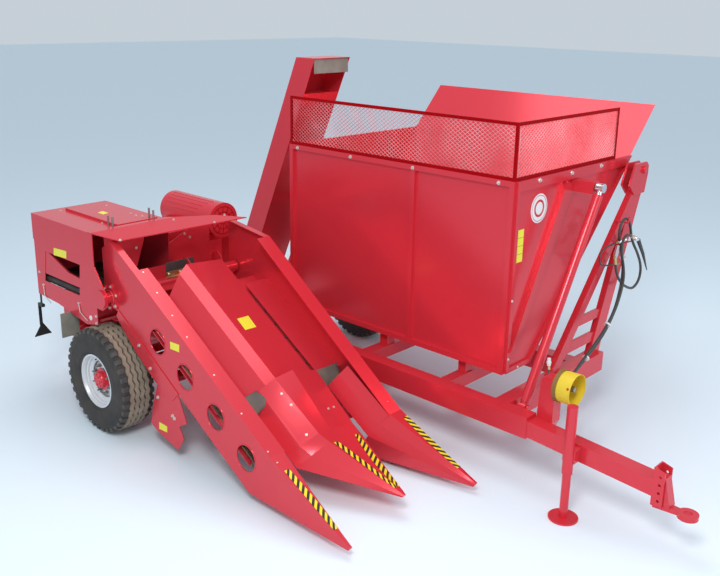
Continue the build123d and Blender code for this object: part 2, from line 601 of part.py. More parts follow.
def head_covers():
    """Hood between the rows, side covers and the three noses."""
    half = ROW_SPACING / 2 - SLOT_GAP / 2
    m = HEAD_MIDDLE
    t = 4.0
    rear_hood = [(m - half, SLOT_N), (m - 200, -90), (m - 110, -60), (m + half, SLOT_N + 5)]
    hood = slope_prism(folded(rear_hood, -t), -80, HUMP_U)
    # the hood's rear edge runs askew
    hood -= prism_xy([(100, -1000), (415, -1000), (190, -250), (100, -250)], 1000, 1500)
    # hump over the front bearings: across and n of its rear and front section
    hump_rear = [(-half, SLOT_N), (-260, -110), (-150, -20), (10, 5), (half - 6, -140), (half, SLOT_N)]
    hump_front = [(-half, SLOT_N), (-260, -120), (-120, -45), (10, -75), (half - 46, -150), (half, SLOT_N)]
    sections = []
    for u, section in ((HUMP_U, hump_rear), (SEAM_MIDDLE, hump_front)):
        ring = folded([(m + y, n) for y, n in section], -t)
        sections.append([on_slope(u, y, n) for y, n in ring])
    hood = hood + lofted(sections)
    # cross plates that stand on the deck plates and carry the hood
    for u in (320, 1220):
        plate = [(m - 200, DECK_N), (m - 200, -92), (m - 110, -62), (m + 200, -157), (m + 200, DECK_N)]
        hood = hood + slope_prism(plate, u, u + 6)
    left_slot = m + ROW_SPACING / 2 + SLOT_GAP / 2
    right_slot = m - ROW_SPACING / 2 - SLOT_GAP / 2
    covers = []
    for slot, wall, sign, seam in ((left_slot, HEAD_LEFT - HEAD_SHEET, 1, SEAM_LEFT),
                                   (right_slot, HEAD_RIGHT + HEAD_SHEET, -1, SEAM_RIGHT)):
        flat = folded([(slot, SLOT_N), (wall, SLOT_N)], -t * sign)
        covers.append(slope_prism(flat, 240, FLAP_U - 60))
        flange_edge = wall + sign * (HEAD_SHEET - FLANGE_W)
        steep = folded([(slot, SLOT_N), (slot + sign * 60, -90), (flange_edge, -HEAD_SHEET)], -t * sign)
        covers.append(slope_prism(steep, FLAP_U + 60, seam))
    # outer noses: the tip is a small copy of the base
    noses = []
    for y0, y1, seam, tip_u, tip_y, tip_n in ((HEAD_RIGHT, right_slot, SEAM_RIGHT, 2560, -1220, 85),
                                              (HEAD_LEFT, left_slot, SEAM_LEFT, 2647, -70, 137)):
        s = 1 if y1 > y0 else -1
        base = [(y0, 0), (y0 + s * 120, 0), (y1 - s * 60, -90), (y1, SLOT_N), (y1, -WALL_DEPTH + 30),
                (y0, WALL_FOOT)]
        tip = [(tip_y - s * 14, tip_n), (tip_y, tip_n), (tip_y + s * 12, tip_n - 8),
               (tip_y + s * 16, tip_n - 18), (tip_y + s * 16, tip_n - 30), (tip_y - s * 14, tip_n - 30)]
        noses.append(lofted([[on_slope(u, *point) for point in section]
                             for u, section in ((seam, base), (tip_u, tip))]))
    # middle nose: it keeps its width for a while before it narrows
    base = hump_front + [(0, -WALL_DEPTH + 60)]
    neck = [(-half, SLOT_N), (-236, -112), (-108, -24), (8, -52), (half - 60, -140), (half, SLOT_N),
            (0, -WALL_DEPTH + 90)]
    tip = [(-20, 103), (-16, 112), (-6, 121), (4, 121), (15, 112), (20, 103), (0, 93)]
    noses.append(lofted([[on_slope(u, m + y, n) for y, n in section]
                         for u, section in ((SEAM_MIDDLE, base), (SEAM_MIDDLE + 100, neck), (2458, tip))]))
    return {"head_hood": hood, "head_side_covers": group(covers), "nose_right": noses[0],
            "nose_left": noses[1], "nose_middle": noses[2]}


def row_points(offset):
    """Y of the two rows, moved by an offset."""
    return [HEAD_MIDDLE + side * ROW_SPACING / 2 + offset for side in (-1, 1)]


def snapping_roll(y, turn):
    """Ribbed roll with a cone nose, along the slope under one side of a slot."""
    start, end, nose = ROLL_START, ROLL_END, ROLL_NOSE
    core = ROLL_R - ROLL_RIB
    plane = slope_plane(start)
    place = Plane(origin=on_slope(start, y, ROLL_N), x_dir=(0, 1, 0), z_dir=plane.z_dir)
    outline = Circle(core)
    for i in range(ROLL_RIBS):
        angle = turn + 360 / ROLL_RIBS * i
        outline += Rot(0, 0, angle) * Pos(core, 0) * Rectangle(2 * ROLL_RIB, 9)
    body = extrude(outline, end - start)
    nose_cone = Cone(core, 12, nose - end, align=(Align.CENTER, Align.CENTER, Align.MIN))
    stub = Cylinder(ROLL_SHAFT_R, 40, align=(Align.CENTER, Align.CENTER, Align.MAX))
    return place * (body + Pos(0, 0, end - start) * nose_cone + stub)


def chain_loop(y, side):
    """Gathering chain: one closed band with upright lugs towards the slot and back."""
    plane = slope_plane(CHAIN_START)
    place = Plane(origin=on_slope(CHAIN_START, y, DECK_N + SEAT), x_dir=plane.z_dir, z_dir=plane.y_dir)
    length = CHAIN_END - CHAIN_START
    half = CHAIN_HALF
    outer = SlotCenterToCenter(length, 2 * half)
    inner = SlotCenterToCenter(length, 2 * (half - CHAIN_BAND))
    band = Pos(length / 2, 0) * (outer - inner)
    step = length / CHAIN_LUGS
    for i in range(CHAIN_LUGS):
        x = step * (i + 0.5)
        for edge in (-1, 1):
            lean = 10 * edge * side
            foot, head = edge * (half - 3), edge * (half + CHAIN_LUG)
            band += outline_of([(x - 14, foot), (x + 14, foot), (x + 6 + lean, head), (x - 6 + lean, head)])
    return place * extrude(band, CHAIN_TALL)


def row_units():
    """Gearboxes, deck plates, snapping rolls and gathering chains under the covers."""
    inner_right = HEAD_RIGHT + HEAD_SHEET
    inner_left = HEAD_LEFT - HEAD_SHEET
    rows = row_points(0)
    slot = SLOT_GAP / 2
    edges = [(inner_right, rows[0] - slot), (rows[0] + slot, rows[1] - slot), (rows[1] + slot, inner_left)]
    deck = [slope_prism([(a, DECK_N - 6), (b, DECK_N - 6), (b, DECK_N), (a, DECK_N)], 200, DECK_END)
            for a, b in edges]
    # cross tubes between the walls: first u, low n and side
    tubes = [(BACK_TUBE_U, ROLL_N - 90, 80.0), (LIFT_TUBE_U, -WALL_DEPTH, 60.0)]
    cross = []
    for u, n, side in tubes:
        cross.append(slope_prism([(inner_right, n), (inner_left, n), (inner_left, n + side), (inner_right, n + side)],
                                 u, u + side))
    boxes = []
    for y in rows:
        case = slope_prism([(y - 95, ROLL_N - 90), (y + 95, ROLL_N - 90), (y + 95, DECK_N - 6), (y - 95, DECK_N - 6)],
                           BACK_TUBE_U + 80, ROLL_START - 1)
        for offset in (-ROLL_OFFSET, ROLL_OFFSET):
            plane = slope_plane(ROLL_START - 45)
            place = Plane(origin=on_slope(ROLL_START - 45, y + offset, ROLL_N), z_dir=plane.z_dir)
            case -= place * Cylinder(ROLL_SHAFT_R + FIT, 60, align=(Align.CENTER, Align.CENTER, Align.MIN))
        boxes.append(case)
    rolls = {}
    for name, y in zip(("right", "left"), rows):
        for kind, side in (("outer", -1), ("inner", 1)):
            place = side if name == "right" else -side
            turn = 0 if side < 0 else 30
            rolls["roll_" + name + "_" + kind] = snapping_roll(y + place * ROLL_OFFSET, turn)
    chains = []
    for y in rows:
        for side in (-1, 1):
            chains.append(chain_loop(y + side * CHAIN_OFFSET, side))
    nodes = {"deck_plates": group(deck), "head_cross_tubes": group(cross), "row_gearboxes": group(boxes),
             "gathering_chains": group(chains)}
    nodes.update(rolls)
    return nodes


def cross_auger():
    """Tube with a helical flight on the left and throwing paddles on the right."""
    low = HEAD_RIGHT + HEAD_SHEET + 12
    high = HEAD_LEFT - HEAD_SHEET - 12
    x, z = HEAD_PIVOT_X, HEAD_PIVOT_Z
    shaft = rod((x, low, z), (x, high, z), AUGER_TUBE_R)
    shaft += rod((x, low - 40, z), (x, high + 40, z), 20)
    turns = 1.75
    steps = 12
    pitch = (high - 30 - AUGER_FLIGHT_Y) / turns
    count = int(turns * steps)
    thick = 8.0
    inner_r = AUGER_TUBE_R - 6

    def corner(index, radius, shift):
        angle = 2 * math.pi * index / steps
        return Vector(x + radius * math.cos(angle), AUGER_FLIGHT_Y + pitch * index / steps + shift,
                      z + radius * math.sin(angle))

    faces = []
    for i in range(count):
        a, b = i, i + 1
        front = [corner(a, inner_r, 0), corner(a, AUGER_R, 0), corner(b, AUGER_R, 0), corner(b, inner_r, 0)]
        back = [corner(a, inner_r, thick), corner(a, AUGER_R, thick), corner(b, AUGER_R, thick),
                corner(b, inner_r, thick)]
        quads = [front, back[::-1], [front[1], back[1], back[2], front[2]],
                 [front[0], front[3], back[3], back[0]]]
        for q in quads:
            faces.append(Face(Wire.make_polygon([q[0], q[1], q[2]])))
            faces.append(Face(Wire.make_polygon([q[0], q[2], q[3]])))
    for i in (0, count):
        cap = [corner(i, inner_r, 0), corner(i, AUGER_R, 0), corner(i, AUGER_R, thick), corner(i, inner_r, thick)]
        faces.append(Face(Wire.make_polygon(cap)))
    flight = Solid(Shell(faces))
    auger = shaft + flight
    for angle in (0, 90, 180, 270):
        blade = block((-4, 4), (low + 60, AUGER_FLIGHT_Y - 60), (AUGER_TUBE_R - 6, AUGER_R - 12))
        auger += Pos(x, 0, z) * Rot(0, angle, 0) * blade
    return auger


def auger_trough():
    """Curved trough under the auger: closed behind it on the left, open on the right."""
    x, z = HEAD_PIVOT_X, HEAD_PIVOT_Z
    inner_right = HEAD_RIGHT + HEAD_SHEET
    inner_left = HEAD_LEFT - HEAD_SHEET

    def arc_sheet(start, end, y0, y1):
        """Part of the trough between two angles and two places across."""
        ring = Circle(AUGER_R + 19) - Circle(AUGER_R + 15)
        reach = 400.0
        wedge = [(0, 0)]
        for i in range(5):
            angle = math.radians(start + (end - start) * i / 4)
            wedge.append((reach * math.cos(angle), reach * math.sin(angle)))
        plane = Plane(origin=(x, y1, z), x_dir=(1, 0, 0), z_dir=(0, -1, 0))
        return extrude(plane * (ring & outline_of(wedge)), y1 - y0)

    right = arc_sheet(-98, -15, inner_right, BOX_LEFT)
    left = arc_sheet(-180, -15, BOX_LEFT, inner_left)
    # the sheet behind the flight has its upper right corner cut off
    beside_drum = DRUM_Y - DRUM_R - 10
    back = prism_yz([(BOX_LEFT, z), (inner_left, z), (inner_left, z + 210), (beside_drum, z + 210),
                     (beside_drum, z + 410), (BOX_LEFT + 264, z + 410), (BOX_LEFT + 264, z + 348),
                     (BOX_LEFT, z + 231)], x - AUGER_R - 19, x - AUGER_R - 15)
    return {"auger_trough": right + left + back}


def head_mounts():
    """Right and left trunnions that the picking head swings on."""
    x, z = HEAD_PIVOT_X, HEAD_PIVOT_Z
    arm = prism_xz([(BOX_FRONT, 1000), (BOX_FRONT, 1330), (60, 1215), (130, 1130), (130, 1050), (60, 1000)],
                   BOX_RIGHT, BOX_RIGHT + 8)
    arm += rod((x, BOX_RIGHT, z), (x, HEAD_RIGHT + HEAD_SHEET, z), TRUNNION_R)
    arm += rod((x, BOX_RIGHT - 14, z), (x, BOX_RIGHT, z), 72)
    post_y = (RIGHT_TUBE_Y, RIGHT_TUBE_Y + 80)
    post = block((x - 40, x + 40), post_y, (FRAME_TOP, z + 60))
    post += rod((x, HEAD_LEFT - HEAD_SHEET, z), (x, post_y[0] + 20, z), TRUNNION_R)
    bore = rod((x, HEAD_RIGHT - 60, z), (x, HEAD_RIGHT + 20, z), 20 + FIT)
    arm -= bore
    post -= rod((x, HEAD_LEFT - 20, z), (x, HEAD_LEFT + 60, z), 20 + FIT)
    return {"trunnion_right": arm, "trunnion_left": post}


def lift_ram():
    """Ram between the axle and the cross tube under the picking head."""
    y = HEAD_MIDDLE
    foot = Vector(95, y, 420)
    eye = Vector(*on_slope(LIFT_TUBE_U + 30, y, -WALL_DEPTH - 30))
    along = (eye - foot).normalized()
    half = 34.0
    barrel = rod((foot.X, y - half, foot.Z), (foot.X, y + half, foot.Z), 24)
    end = foot + along * ((eye - foot).length - 150)
    barrel += rod(tuple(foot + along * 12), tuple(end), 32)
    barrel -= rod(tuple(foot + along * 70), tuple(end + along), 16 + FIT)
    barrel -= rod((foot.X, y - half - 1, foot.Z), (foot.X, y + half + 1, foot.Z), 12 + FIT)
    shaft = rod(tuple(foot + along * 110), tuple(eye - along * 14), 16)
    shaft += rod((eye.X, y - half, eye.Z), (eye.X, y + half, eye.Z), 24)
    shaft -= rod((eye.X, y - half - 1, eye.Z), (eye.X, y + half + 1, eye.Z), 16)
    lug_foot = [(AXLE_SIDE / 2, AXLE_Z - 40), (AXLE_SIDE / 2, AXLE_Z + 40), (foot.X + 22, foot.Z + 20),
                (foot.X + 22, foot.Z - 22)]
    feet = []
    for side in (-1, 1):
        low = y + side * (half + 2) - (8 if side < 0 else 0)
        feet.append(prism_xz(lug_foot, low, low + 8))
    pin = rod((foot.X, y - half - 18, foot.Z), (foot.X, y + half + 18, foot.Z), 12)
    foot_node = feet[0] + feet[1] + pin
    a = on_slope(LIFT_TUBE_U, y, -WALL_DEPTH)
    b = on_slope(LIFT_TUBE_U + 60, y, -WALL_DEPTH)
    c = on_slope(LIFT_TUBE_U + 55, y, -WALL_DEPTH - 55)
    d = on_slope(LIFT_TUBE_U + 5, y, -WALL_DEPTH - 55)
    outline = [(p[0], p[2]) for p in (a, b, c, d)]
    lugs = []
    for side in (-1, 1):
        low = y + side * (half + 5) - (8 if side < 0 else 0)
        lugs.append(prism_xz(outline, low, low + 8))
    pin = rod((eye.X, y - half - 14, eye.Z), (eye.X, y + half + 14, eye.Z), 12)
    return {"lift_foot": foot_node, "lift_barrel": barrel, "lift_rod": shaft,
            "lift_lugs": lugs[0] + lugs[1] + pin}


def husking_bed():
    """Husking box with windows, rolls, cover and lid, on its own beams and posts."""
    x = (BOX_REAR, BOX_FRONT)
    t = BOX_SHEET
    beam_z = (AXLE_Z + AXLE_SIDE / 2, AXLE_Z + AXLE_SIDE / 2 + 80)
    rear = block((-900, -820), (-1100, RIGHT_TUBE_Y), beam_z)
    front = block((-150, -70), (WHEEL_RIGHT_Y + 165, RIGHT_TUBE_Y), beam_z)
    runs = [block((-820, -150), (y, y + 80), beam_z) for y in (-1000, -740)]
    posts = []
    for px in (-740, -150):
        for py in (-1000, -720):
            posts.append(block((px, px + 60), (py, py + 60), (beam_z[1], BOX_LOW)))
    rails = [block((px, px + 60), (BOX_RIGHT + t, BOX_LEFT - t), (BOX_LOW, BOX_LOW + 60)) for px in (-740, -150)]
    top = BOX_TOP - t
    # the right wall's lower edge falls to the front and clears the wheel
    right = prism_xz([(x[0], BOX_LOW), (-633, BOX_LOW - 10), (-189, BOX_LOW - 74), (-100, BOX_LOW - 50),
                      (x[1], BOX_LOW - 38), (x[1], top), (x[0], top)], BOX_RIGHT, BOX_RIGHT + t)
    window = [(-776, 1302), (-236, 1303), (-273, 1043), (-821, 1041)]
    right -= prism_xz(window, BOX_RIGHT - 1, BOX_RIGHT + t + 1)
    # guide sheet seen in the window
    guide = [(-860, 1312), (-770, 1312), (-430, 1195), (-200, 1180), (-200, 1108), (-860, 1108)]
    right += prism_xz(guide, BOX_RIGHT + t, BOX_RIGHT + 18)
    left = block(x, (BOX_LEFT - t, BOX_LEFT), (BOX_LOW, top))
    back = block((x[0], x[0] + t), (BOX_RIGHT + t, BOX_LEFT - t), (BOX_LOW + 140, top))
    box = right + left + back
    cover_low = BOX_TOP - COVER_DEPTH
    skirt = block((x[0] - t, x[1]), (BOX_RIGHT - t, BOX_LEFT + t), (cover_low, BOX_TOP))
    skirt -= block((x[0], x[1] + 1), (BOX_RIGHT, BOX_LEFT), (cover_low - 1, top))
    # front panel beside the opening that the ears are thrown through
    skirt += prism_yz([(HEAD_RIGHT + 15, top), (-870, top), (-885, 1468), (-960, 1262), (-1000, 1245),
                       (HEAD_RIGHT + 15, 1245)], x[1] - t, x[1])
    lid_x = (-860, -100)
    lid_y = (-1085, LID_HINGE_Y)
    skirt -= block((lid_x[0] + 30, lid_x[1] - 30), (lid_y[0] + 30, lid_y[1] - 30), (top - 1, BOX_TOP + 1))
    lid = block(lid_x, lid_y, (BOX_TOP + SEAT, BOX_TOP + LID_RAISE))
    lid += block(lid_x, (lid_y[0], lid_y[0] + 14), (BOX_TOP + SEAT, BOX_TOP + LID_RAISE + 8))
    rolls = []
    bearer_x = (-150, -138)
    for i in range(HUSK_ROLLS):
        y = BOX_RIGHT + t + 55 + i * HUSK_PITCH
        rolls.append(rod((x[0] + t + 60, y, HUSK_Z), (bearer_x[0], y, HUSK_Z), HUSK_R))
    bearer = block(bearer_x, (BOX_RIGHT + t, BOX_LEFT - t), (BOX_LOW + 60, HUSK_Z + 40))
    end_bar = block((x[0] + t + 40, x[0] + t + 60), (BOX_RIGHT + t, BOX_LEFT - t), (HUSK_Z - 60, HUSK_Z + 20))
    return {"bed_beams": group([rear, front] + runs), "bed_posts": group(posts), "bed_rails": group(rails),
            "husking_box": box, "husking_cover": skirt, "husking_lid": lid, "husking_rolls": group(rolls),
            "roll_bearers": group([bearer, end_bar])}


def rear_parts():
    """Cross conveyor, elevator, fan drum, cover strip and small fittings."""
    t = BOX_SHEET
    conveyor_x = (-1000.0, -760.0)
    conveyor_y = (-1100.0, ELEVATOR_RIGHT)
    conveyor_z = (600.0, 850.0)
    outline = folded([(conveyor_x[0], conveyor_z[1]), (conveyor_x[0], conveyor_z[0]),
                      (conveyor_x[1], conveyor_z[0]), (conveyor_x[1], conveyor_z[1])], t)
    trough = prism_xz(outline, *conveyor_y)
    trough += block((conveyor_x[0], conveyor_x[1]), (conveyor_y[0], conveyor_y[0] + t), conveyor_z)
    stands = [block((-900, -840), (y, y + 60), (AXLE_Z + AXLE_SIDE / 2 + 80, conveyor_z[0])) for y in (-1000, -100)]
    stands.append(block((-900, -800), (ELEVATOR_RIGHT + 60, ELEVATOR_RIGHT + ELEVATOR_W - 60), (FRAME_TOP, ELEVATOR_LOW_Z)))

    def rear_x(z):
        return ELEVATOR_LOW_X + (z - ELEVATOR_LOW_Z) * ELEVATOR_LEAN

    d = ELEVATOR_DEPTH
    left = ELEVATOR_RIGHT + ELEVATOR_W
    low, top = ELEVATOR_LOW_Z, ELEVATOR_TOP_Z
    mouth = top - ELEVATOR_MOUTH_H
    body = prism_xz([(rear_x(low), low), (rear_x(top), top), (rear_x(top) + d, top), (rear_x(low) + d, low)],
                    ELEVATOR_RIGHT, left)
    wall = 6.0
    body -= prism_xz([(rear_x(mouth) + wall, mouth), (rear_x(top - wall) + wall, top - wall),
                      (rear_x(top - wall) + d + 200, top - wall), (rear_x(mouth) + d + 200, mouth)],
                     ELEVATOR_RIGHT + wall, left - wall)
    flap_x = rear_x(top - wall) + d - 12
    flap = block((flap_x - 4, flap_x), (ELEVATOR_RIGHT + wall + 4, left - wall - 4), (top - wall - 125, top - wall))
    strut_top = 1500.0
    strut = prism_xz([(60, FRAME_TOP), (104, FRAME_TOP), (rear_x(strut_top) + d, strut_top + 40),
                      (rear_x(strut_top - 60) + d, strut_top - 60)], 1120, 1160)

    drum = rod((DRUM_X[0], DRUM_Y, DRUM_Z), (DRUM_X[1], DRUM_Y, DRUM_Z), DRUM_R)
    drum -= rod((DRUM_X[0] + 6, DRUM_Y, DRUM_Z), (DRUM_X[1] - 6, DRUM_Y, DRUM_Z), DRUM_R - 6)
    duct = block((DRUM_X[0] + 80, DRUM_X[1] - 120), (BOX_LEFT + t, DRUM_Y - 60), (DRUM_Z - 150, DRUM_Z - 50))
    duct -= rod((DRUM_X[0] - 1, DRUM_Y, DRUM_Z), (DRUM_X[1] + 1, DRUM_Y, DRUM_Z), DRUM_R)
    # cover strip: flat on the box, then falling to the front; its plan narrows to the left
    profile = folded([(-190, BOX_TOP), (BOX_FRONT, BOX_TOP), (230, BOX_TOP - 63)], 8)
    plan = [(-70, BOX_RIGHT - 10), (BOX_FRONT, BOX_RIGHT - 10), (163, -1216), (199, -26), (67, -259),
            (-24, -600), (-70, -640)]
    strip = prism_xz(profile, BOX_RIGHT - 20, 0) & prism_xy(plan, BOX_TOP - 100, BOX_TOP + 100)

    flap_z = (660.0, BOX_LOW - 37.2)
    mudflap = block((-455, -445), (BOX_RIGHT - 83, BOX_RIGHT + 72), flap_z)
    strap = (BOX_RIGHT + t, BOX_RIGHT + t + 26)
    arm = block((-1000, -925), strap, (780, 804))
    arm += block((-1000, -992), strap, (600, 804))
    arm += block((-949, -925), (strap[0], strap[0] + 6), (780, 960))
    triangle = prism_yz([(-1383, 505), (-1228, 505), (-1305, 623)], -1006, -1000)
    return {"cross_conveyor": trough, "conveyor_stands": group(stands), "elevator": body, "elevator_flap": flap,
            "elevator_strut": strut, "fan_drum": drum, "fan_duct": duct, "cover_strip": strip,
            "mudflap": mudflap, "reflector_arm": arm, "reflector": triangle}


def drive():
    """Power take-off stub with its cup, gearboxes and the shaft under the bunker."""
    cup_x = PTO_X - CUP_DEPTH
    gear_x = (cup_x - 110, cup_x)
    # chain case beside the drawbar: outline along X and Z
    beside = HITCH_Y + DRAWBAR_W / 2 + SEAT
    case = [(gear_x[0] - 20, DRIVE_Z - 50), (gear_x[1] - 30, DRIVE_Z - 50), (gear_x[1], DRIVE_Z + 20),
            (gear_x[1], PTO_Z + 48), (gear_x[0] + 20, PTO_Z + 48), (gear_x[0], PTO_Z + 20)]
    gear = prism_xz(case, beside, beside + 100)
    gear -= rod((gear_x[1] - 60, PTO_Y, PTO_Z), (gear_x[1] + 1, PTO_Y, PTO_Z), PTO_R + FIT)
    stub = rod((gear_x[1] - 50, PTO_Y, PTO_Z), (PTO_X - 20, PTO_Y, PTO_Z), PTO_R)
    for i in range(6):
        spline = block((gear_x[1] + 30, PTO_X - 20), (-3, 3), (PTO_R - 2, PTO_R + 3))
        stub += Pos(0, PTO_Y, PTO_Z) * Rot(60 * i, 0, 0) * spline
    t = 4.0
    profile = [(cup_x, 45), (cup_x, CUP_R - 18), (cup_x + 14, CUP_R - 5), (PTO_X, CUP_R), (PTO_X, CUP_R - t),
               (cup_x + 14, CUP_R - 5 - t), (cup_x + t, CUP_R - 20), (cup_x + t, 45)]
    cup = Pos(0, PTO_Y, PTO_Z) * revolve(Plane.XY * Polygon(*profile, align=None), Axis.X)
    back_x = (-420, -300)
    back = block(back_x, (RIGHT_TUBE_Y + TUBE_W, 450), (DRIVE_Z - 60, DRIVE_Z + 160))
    line = rod((back_x[1], DRIVE_Y, DRIVE_Z), (gear_x[0], DRIVE_Y, DRIVE_Z), DRIVE_R)
    return {"front_gearbox": gear, "pto_shaft": stub, "pto_cup": cup, "rear_gearbox": back,
            "drive_line": line}


# Nodes that are welded or bolted up from several pieces
JOINED = {
    "axle": ["axle", "lift_foot"],
    "ladder_frame": ["longerons", "cross_beams", "bunker_rests", "ram_foot_pins"],
    "drawbar": ["drawbar", "hitch_bracket", "jack_sleeve"],
    "rim_right": ["rim_right", "hub_right"],
    "rim_left": ["rim_left", "hub_left"],
    "tipping_stands": ["stand_inner_legs", "stand_outer_legs", "stand_ties", "stand_heads"],
    "bunker_shell": ["bunker_shell", "bunker_end_walls"],
    "bunker_frame": ["bunker_side_frame", "bunker_end_frames", "ram_brackets"],
    "bunker_mesh": ["mesh_right", "mesh_front"],
    "head_walls": ["head_wall_right", "head_wall_left"],
    "head_covers": ["head_hood", "head_side_covers"],
    "head_noses": ["nose_right", "nose_left", "nose_middle"],
    "row_frame": ["deck_plates", "head_cross_tubes", "row_gearboxes", "lift_lugs"],
    "head_trunnions": ["trunnion_right", "trunnion_left"],
    "bed_frame": ["bed_beams", "bed_posts", "bed_rails"],
    "husking_cover": ["husking_cover", "cover_strip"],
    "husking_rolls": ["husking_rolls", "roll_bearers"],
    "fan": ["fan_drum", "fan_duct"],
    "cross_conveyor": ["cross_conveyor", "conveyor_stands"],
    "elevator": ["elevator", "elevator_strut"],
    "rubber_flaps": ["elevator_flap", "mudflap"],
    "reflector": ["reflector", "reflector_arm"],
    "drive_train": ["front_gearbox", "rear_gearbox", "drive_line"],
}


def build():
    """All nodes of the machine in drawing coordinates."""
    pieces = {}
    pieces.update(running_gear())
    pieces.update(frame())
    pieces.update(hitch())
    pieces.update(jack())
    pieces.update(tipping_stands())
    pieces.update(bunker())
    barrel, shaft = tipping_ram()
    pieces["ram_barrel_front"] = barrel
    pieces["ram_rod_front"] = shaft
    pieces["ram_barrel_rear"] = mirrored_x(barrel)
    pieces["ram_rod_rear"] = mirrored_x(shaft)
    right, left = head_walls()
    pieces["head_wall_right"] = right
    pieces["head_wall_left"] = left
    pieces.update(head_covers())
    pieces.update(row_units())
    pieces["cross_auger"] = cross_auger()
    pieces.update(auger_trough())
    pieces.update(head_mounts())
    pieces.update(lift_ram())
    pieces.update(husking_bed())
    pieces.update(rear_parts())
    pieces.update(drive())
    nodes = {}
    for name, members in JOINED.items():
        solids = []
        for member in members:
            solids.extend(pieces.pop(member).solids())
        whole = solids[0]
        if len(solids) > 1:
            whole = solids[0].fuse(*solids[1:])
        nodes[name] = whole
    nodes.update(pieces)
    return nodes


def main():
    """Build every node, set the origin and write one file per node."""
    nodes = build()
    box = Compound(children=[s for n in nodes.values() for s in n.solids()]).bounding_box()
    shift = Pos(-(box.min.X + box.max.X) / 2, -(box.min.Y + box.max.Y) / 2, 0)
    os.makedirs("parts", exist_ok=True)
    for name, shape in nodes.items():
        export_step(shift * shape, os.path.join("parts", name + ".step"))
    print("shift", shift.position)


if __name__ == "__main__":
    main()
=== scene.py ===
"""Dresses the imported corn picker: finishes, tread, mesh, hoses, fasteners and stripes.

Places are given in metres in the drawing's own axes: x = 0 at the wheel axle, y = 0
beside the right frame tube, z = 0 on the ground. Layout.point() moves them into the
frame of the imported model.
"""
from __future__ import annotations

import logging
import math
from dataclasses import dataclass
from enum import Enum
from typing import Sequence, Union

import bmesh
import bpy
from mathutils import Matrix, Vector

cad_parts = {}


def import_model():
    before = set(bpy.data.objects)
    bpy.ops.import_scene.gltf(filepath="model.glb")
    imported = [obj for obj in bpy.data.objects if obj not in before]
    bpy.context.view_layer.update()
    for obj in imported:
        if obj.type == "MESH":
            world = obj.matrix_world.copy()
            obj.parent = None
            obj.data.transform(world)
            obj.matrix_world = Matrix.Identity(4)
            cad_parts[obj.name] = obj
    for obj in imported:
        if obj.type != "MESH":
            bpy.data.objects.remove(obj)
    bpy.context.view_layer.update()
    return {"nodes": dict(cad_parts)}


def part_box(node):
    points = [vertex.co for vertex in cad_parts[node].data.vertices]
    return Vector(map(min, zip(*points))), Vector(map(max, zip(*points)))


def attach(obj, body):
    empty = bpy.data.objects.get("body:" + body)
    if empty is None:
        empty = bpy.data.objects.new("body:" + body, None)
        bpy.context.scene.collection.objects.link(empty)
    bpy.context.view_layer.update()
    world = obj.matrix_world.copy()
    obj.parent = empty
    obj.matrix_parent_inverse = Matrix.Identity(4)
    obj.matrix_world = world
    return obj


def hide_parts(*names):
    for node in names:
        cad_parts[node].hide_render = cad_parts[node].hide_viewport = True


LOG = logging.getLogger("corn_picker")
SLOPE = math.atan(0.6226)
SLOPE_TOP = Vector((0.370, 0.0, 1.365))
BOX_SIDE = -1.335
HEAD_WALL = -1.250
AUGER_AXIS = (0.050, 1.090)
WHEEL_RADIUS = 0.4225
WHEELS = (("right", -1.277, -1.0), ("left", 1.650, 1.0))
FORWARD = Vector((1.0, 0.0, 0.0))
LEFT = Vector((0.0, 1.0, 0.0))
UP = Vector((0.0, 0.0, 1.0))
Value = Union["Socket", int, float]
Colour = tuple[float, float, float]
Spot = tuple[float, float, float]
Spot2 = tuple[float, float]
Span = tuple[Spot, Spot]


class Layout:
    """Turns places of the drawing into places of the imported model."""

    origin = Vector((0.0, 0.0, 0.0))

    @classmethod
    def read(cls) -> None:
        """Finds the drawing's origin from the right wheel and the husking box."""
        low, high = (Vector(c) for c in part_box("tyre_right"))
        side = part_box("husking_box")[0][1]
        cls.origin = Vector(((low.x + high.x) / 2, side - BOX_SIDE, 0.0))

    @classmethod
    def point(cls, x: float, y: float, z: float) -> Vector:
        """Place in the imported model's frame of a place in the drawing."""
        return cls.origin + Vector((x, y, z))

    @classmethod
    def on_slope(cls, u: float, y: float, n: float) -> Vector:
        """Place on the picking head.

        Args:
            u: distance down the slope from the bend of the right wall.
            y: place across the machine.
            n: height square to the slope.

        Returns:
            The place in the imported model's frame.
        """
        down = Vector((math.cos(SLOPE), 0.0, -math.sin(SLOPE)))
        out = Vector((math.sin(SLOPE), 0.0, math.cos(SLOPE)))
        return cls.origin + SLOPE_TOP + down * u + out * n + LEFT * y

    @staticmethod
    def spoke(part: float, radius: float) -> Vector:
        """Step from an axle across the machine to a ring round it, at a part of a full turn."""
        angle = math.tau * part
        return Vector((math.cos(angle), 0.0, math.sin(angle))) * radius


class Socket:
    """A shader value that can be used in Python expressions."""

    def __init__(self, shader: "Shader", link: bpy.types.NodeSocket) -> None:
        """Keeps the shader and the socket that gives the value."""
        self.shader = shader
        self.link = link

    def __add__(self, other: Value) -> "Socket":
        """Sum of two values."""
        return self.shader.maths("ADD", self, other)

    __radd__ = __add__

    def __mul__(self, other: Value) -> "Socket":
        """Product of two values."""
        return self.shader.maths("MULTIPLY", self, other)

    def __rsub__(self, other: Value) -> "Socket":
        """Difference with this value taken away."""
        return self.shader.maths("SUBTRACT", other, self)

    def __gt__(self, other: Value) -> "Socket":
        """One where this value is larger, else zero."""
        return self.shader.maths("GREATER_THAN", self, other)


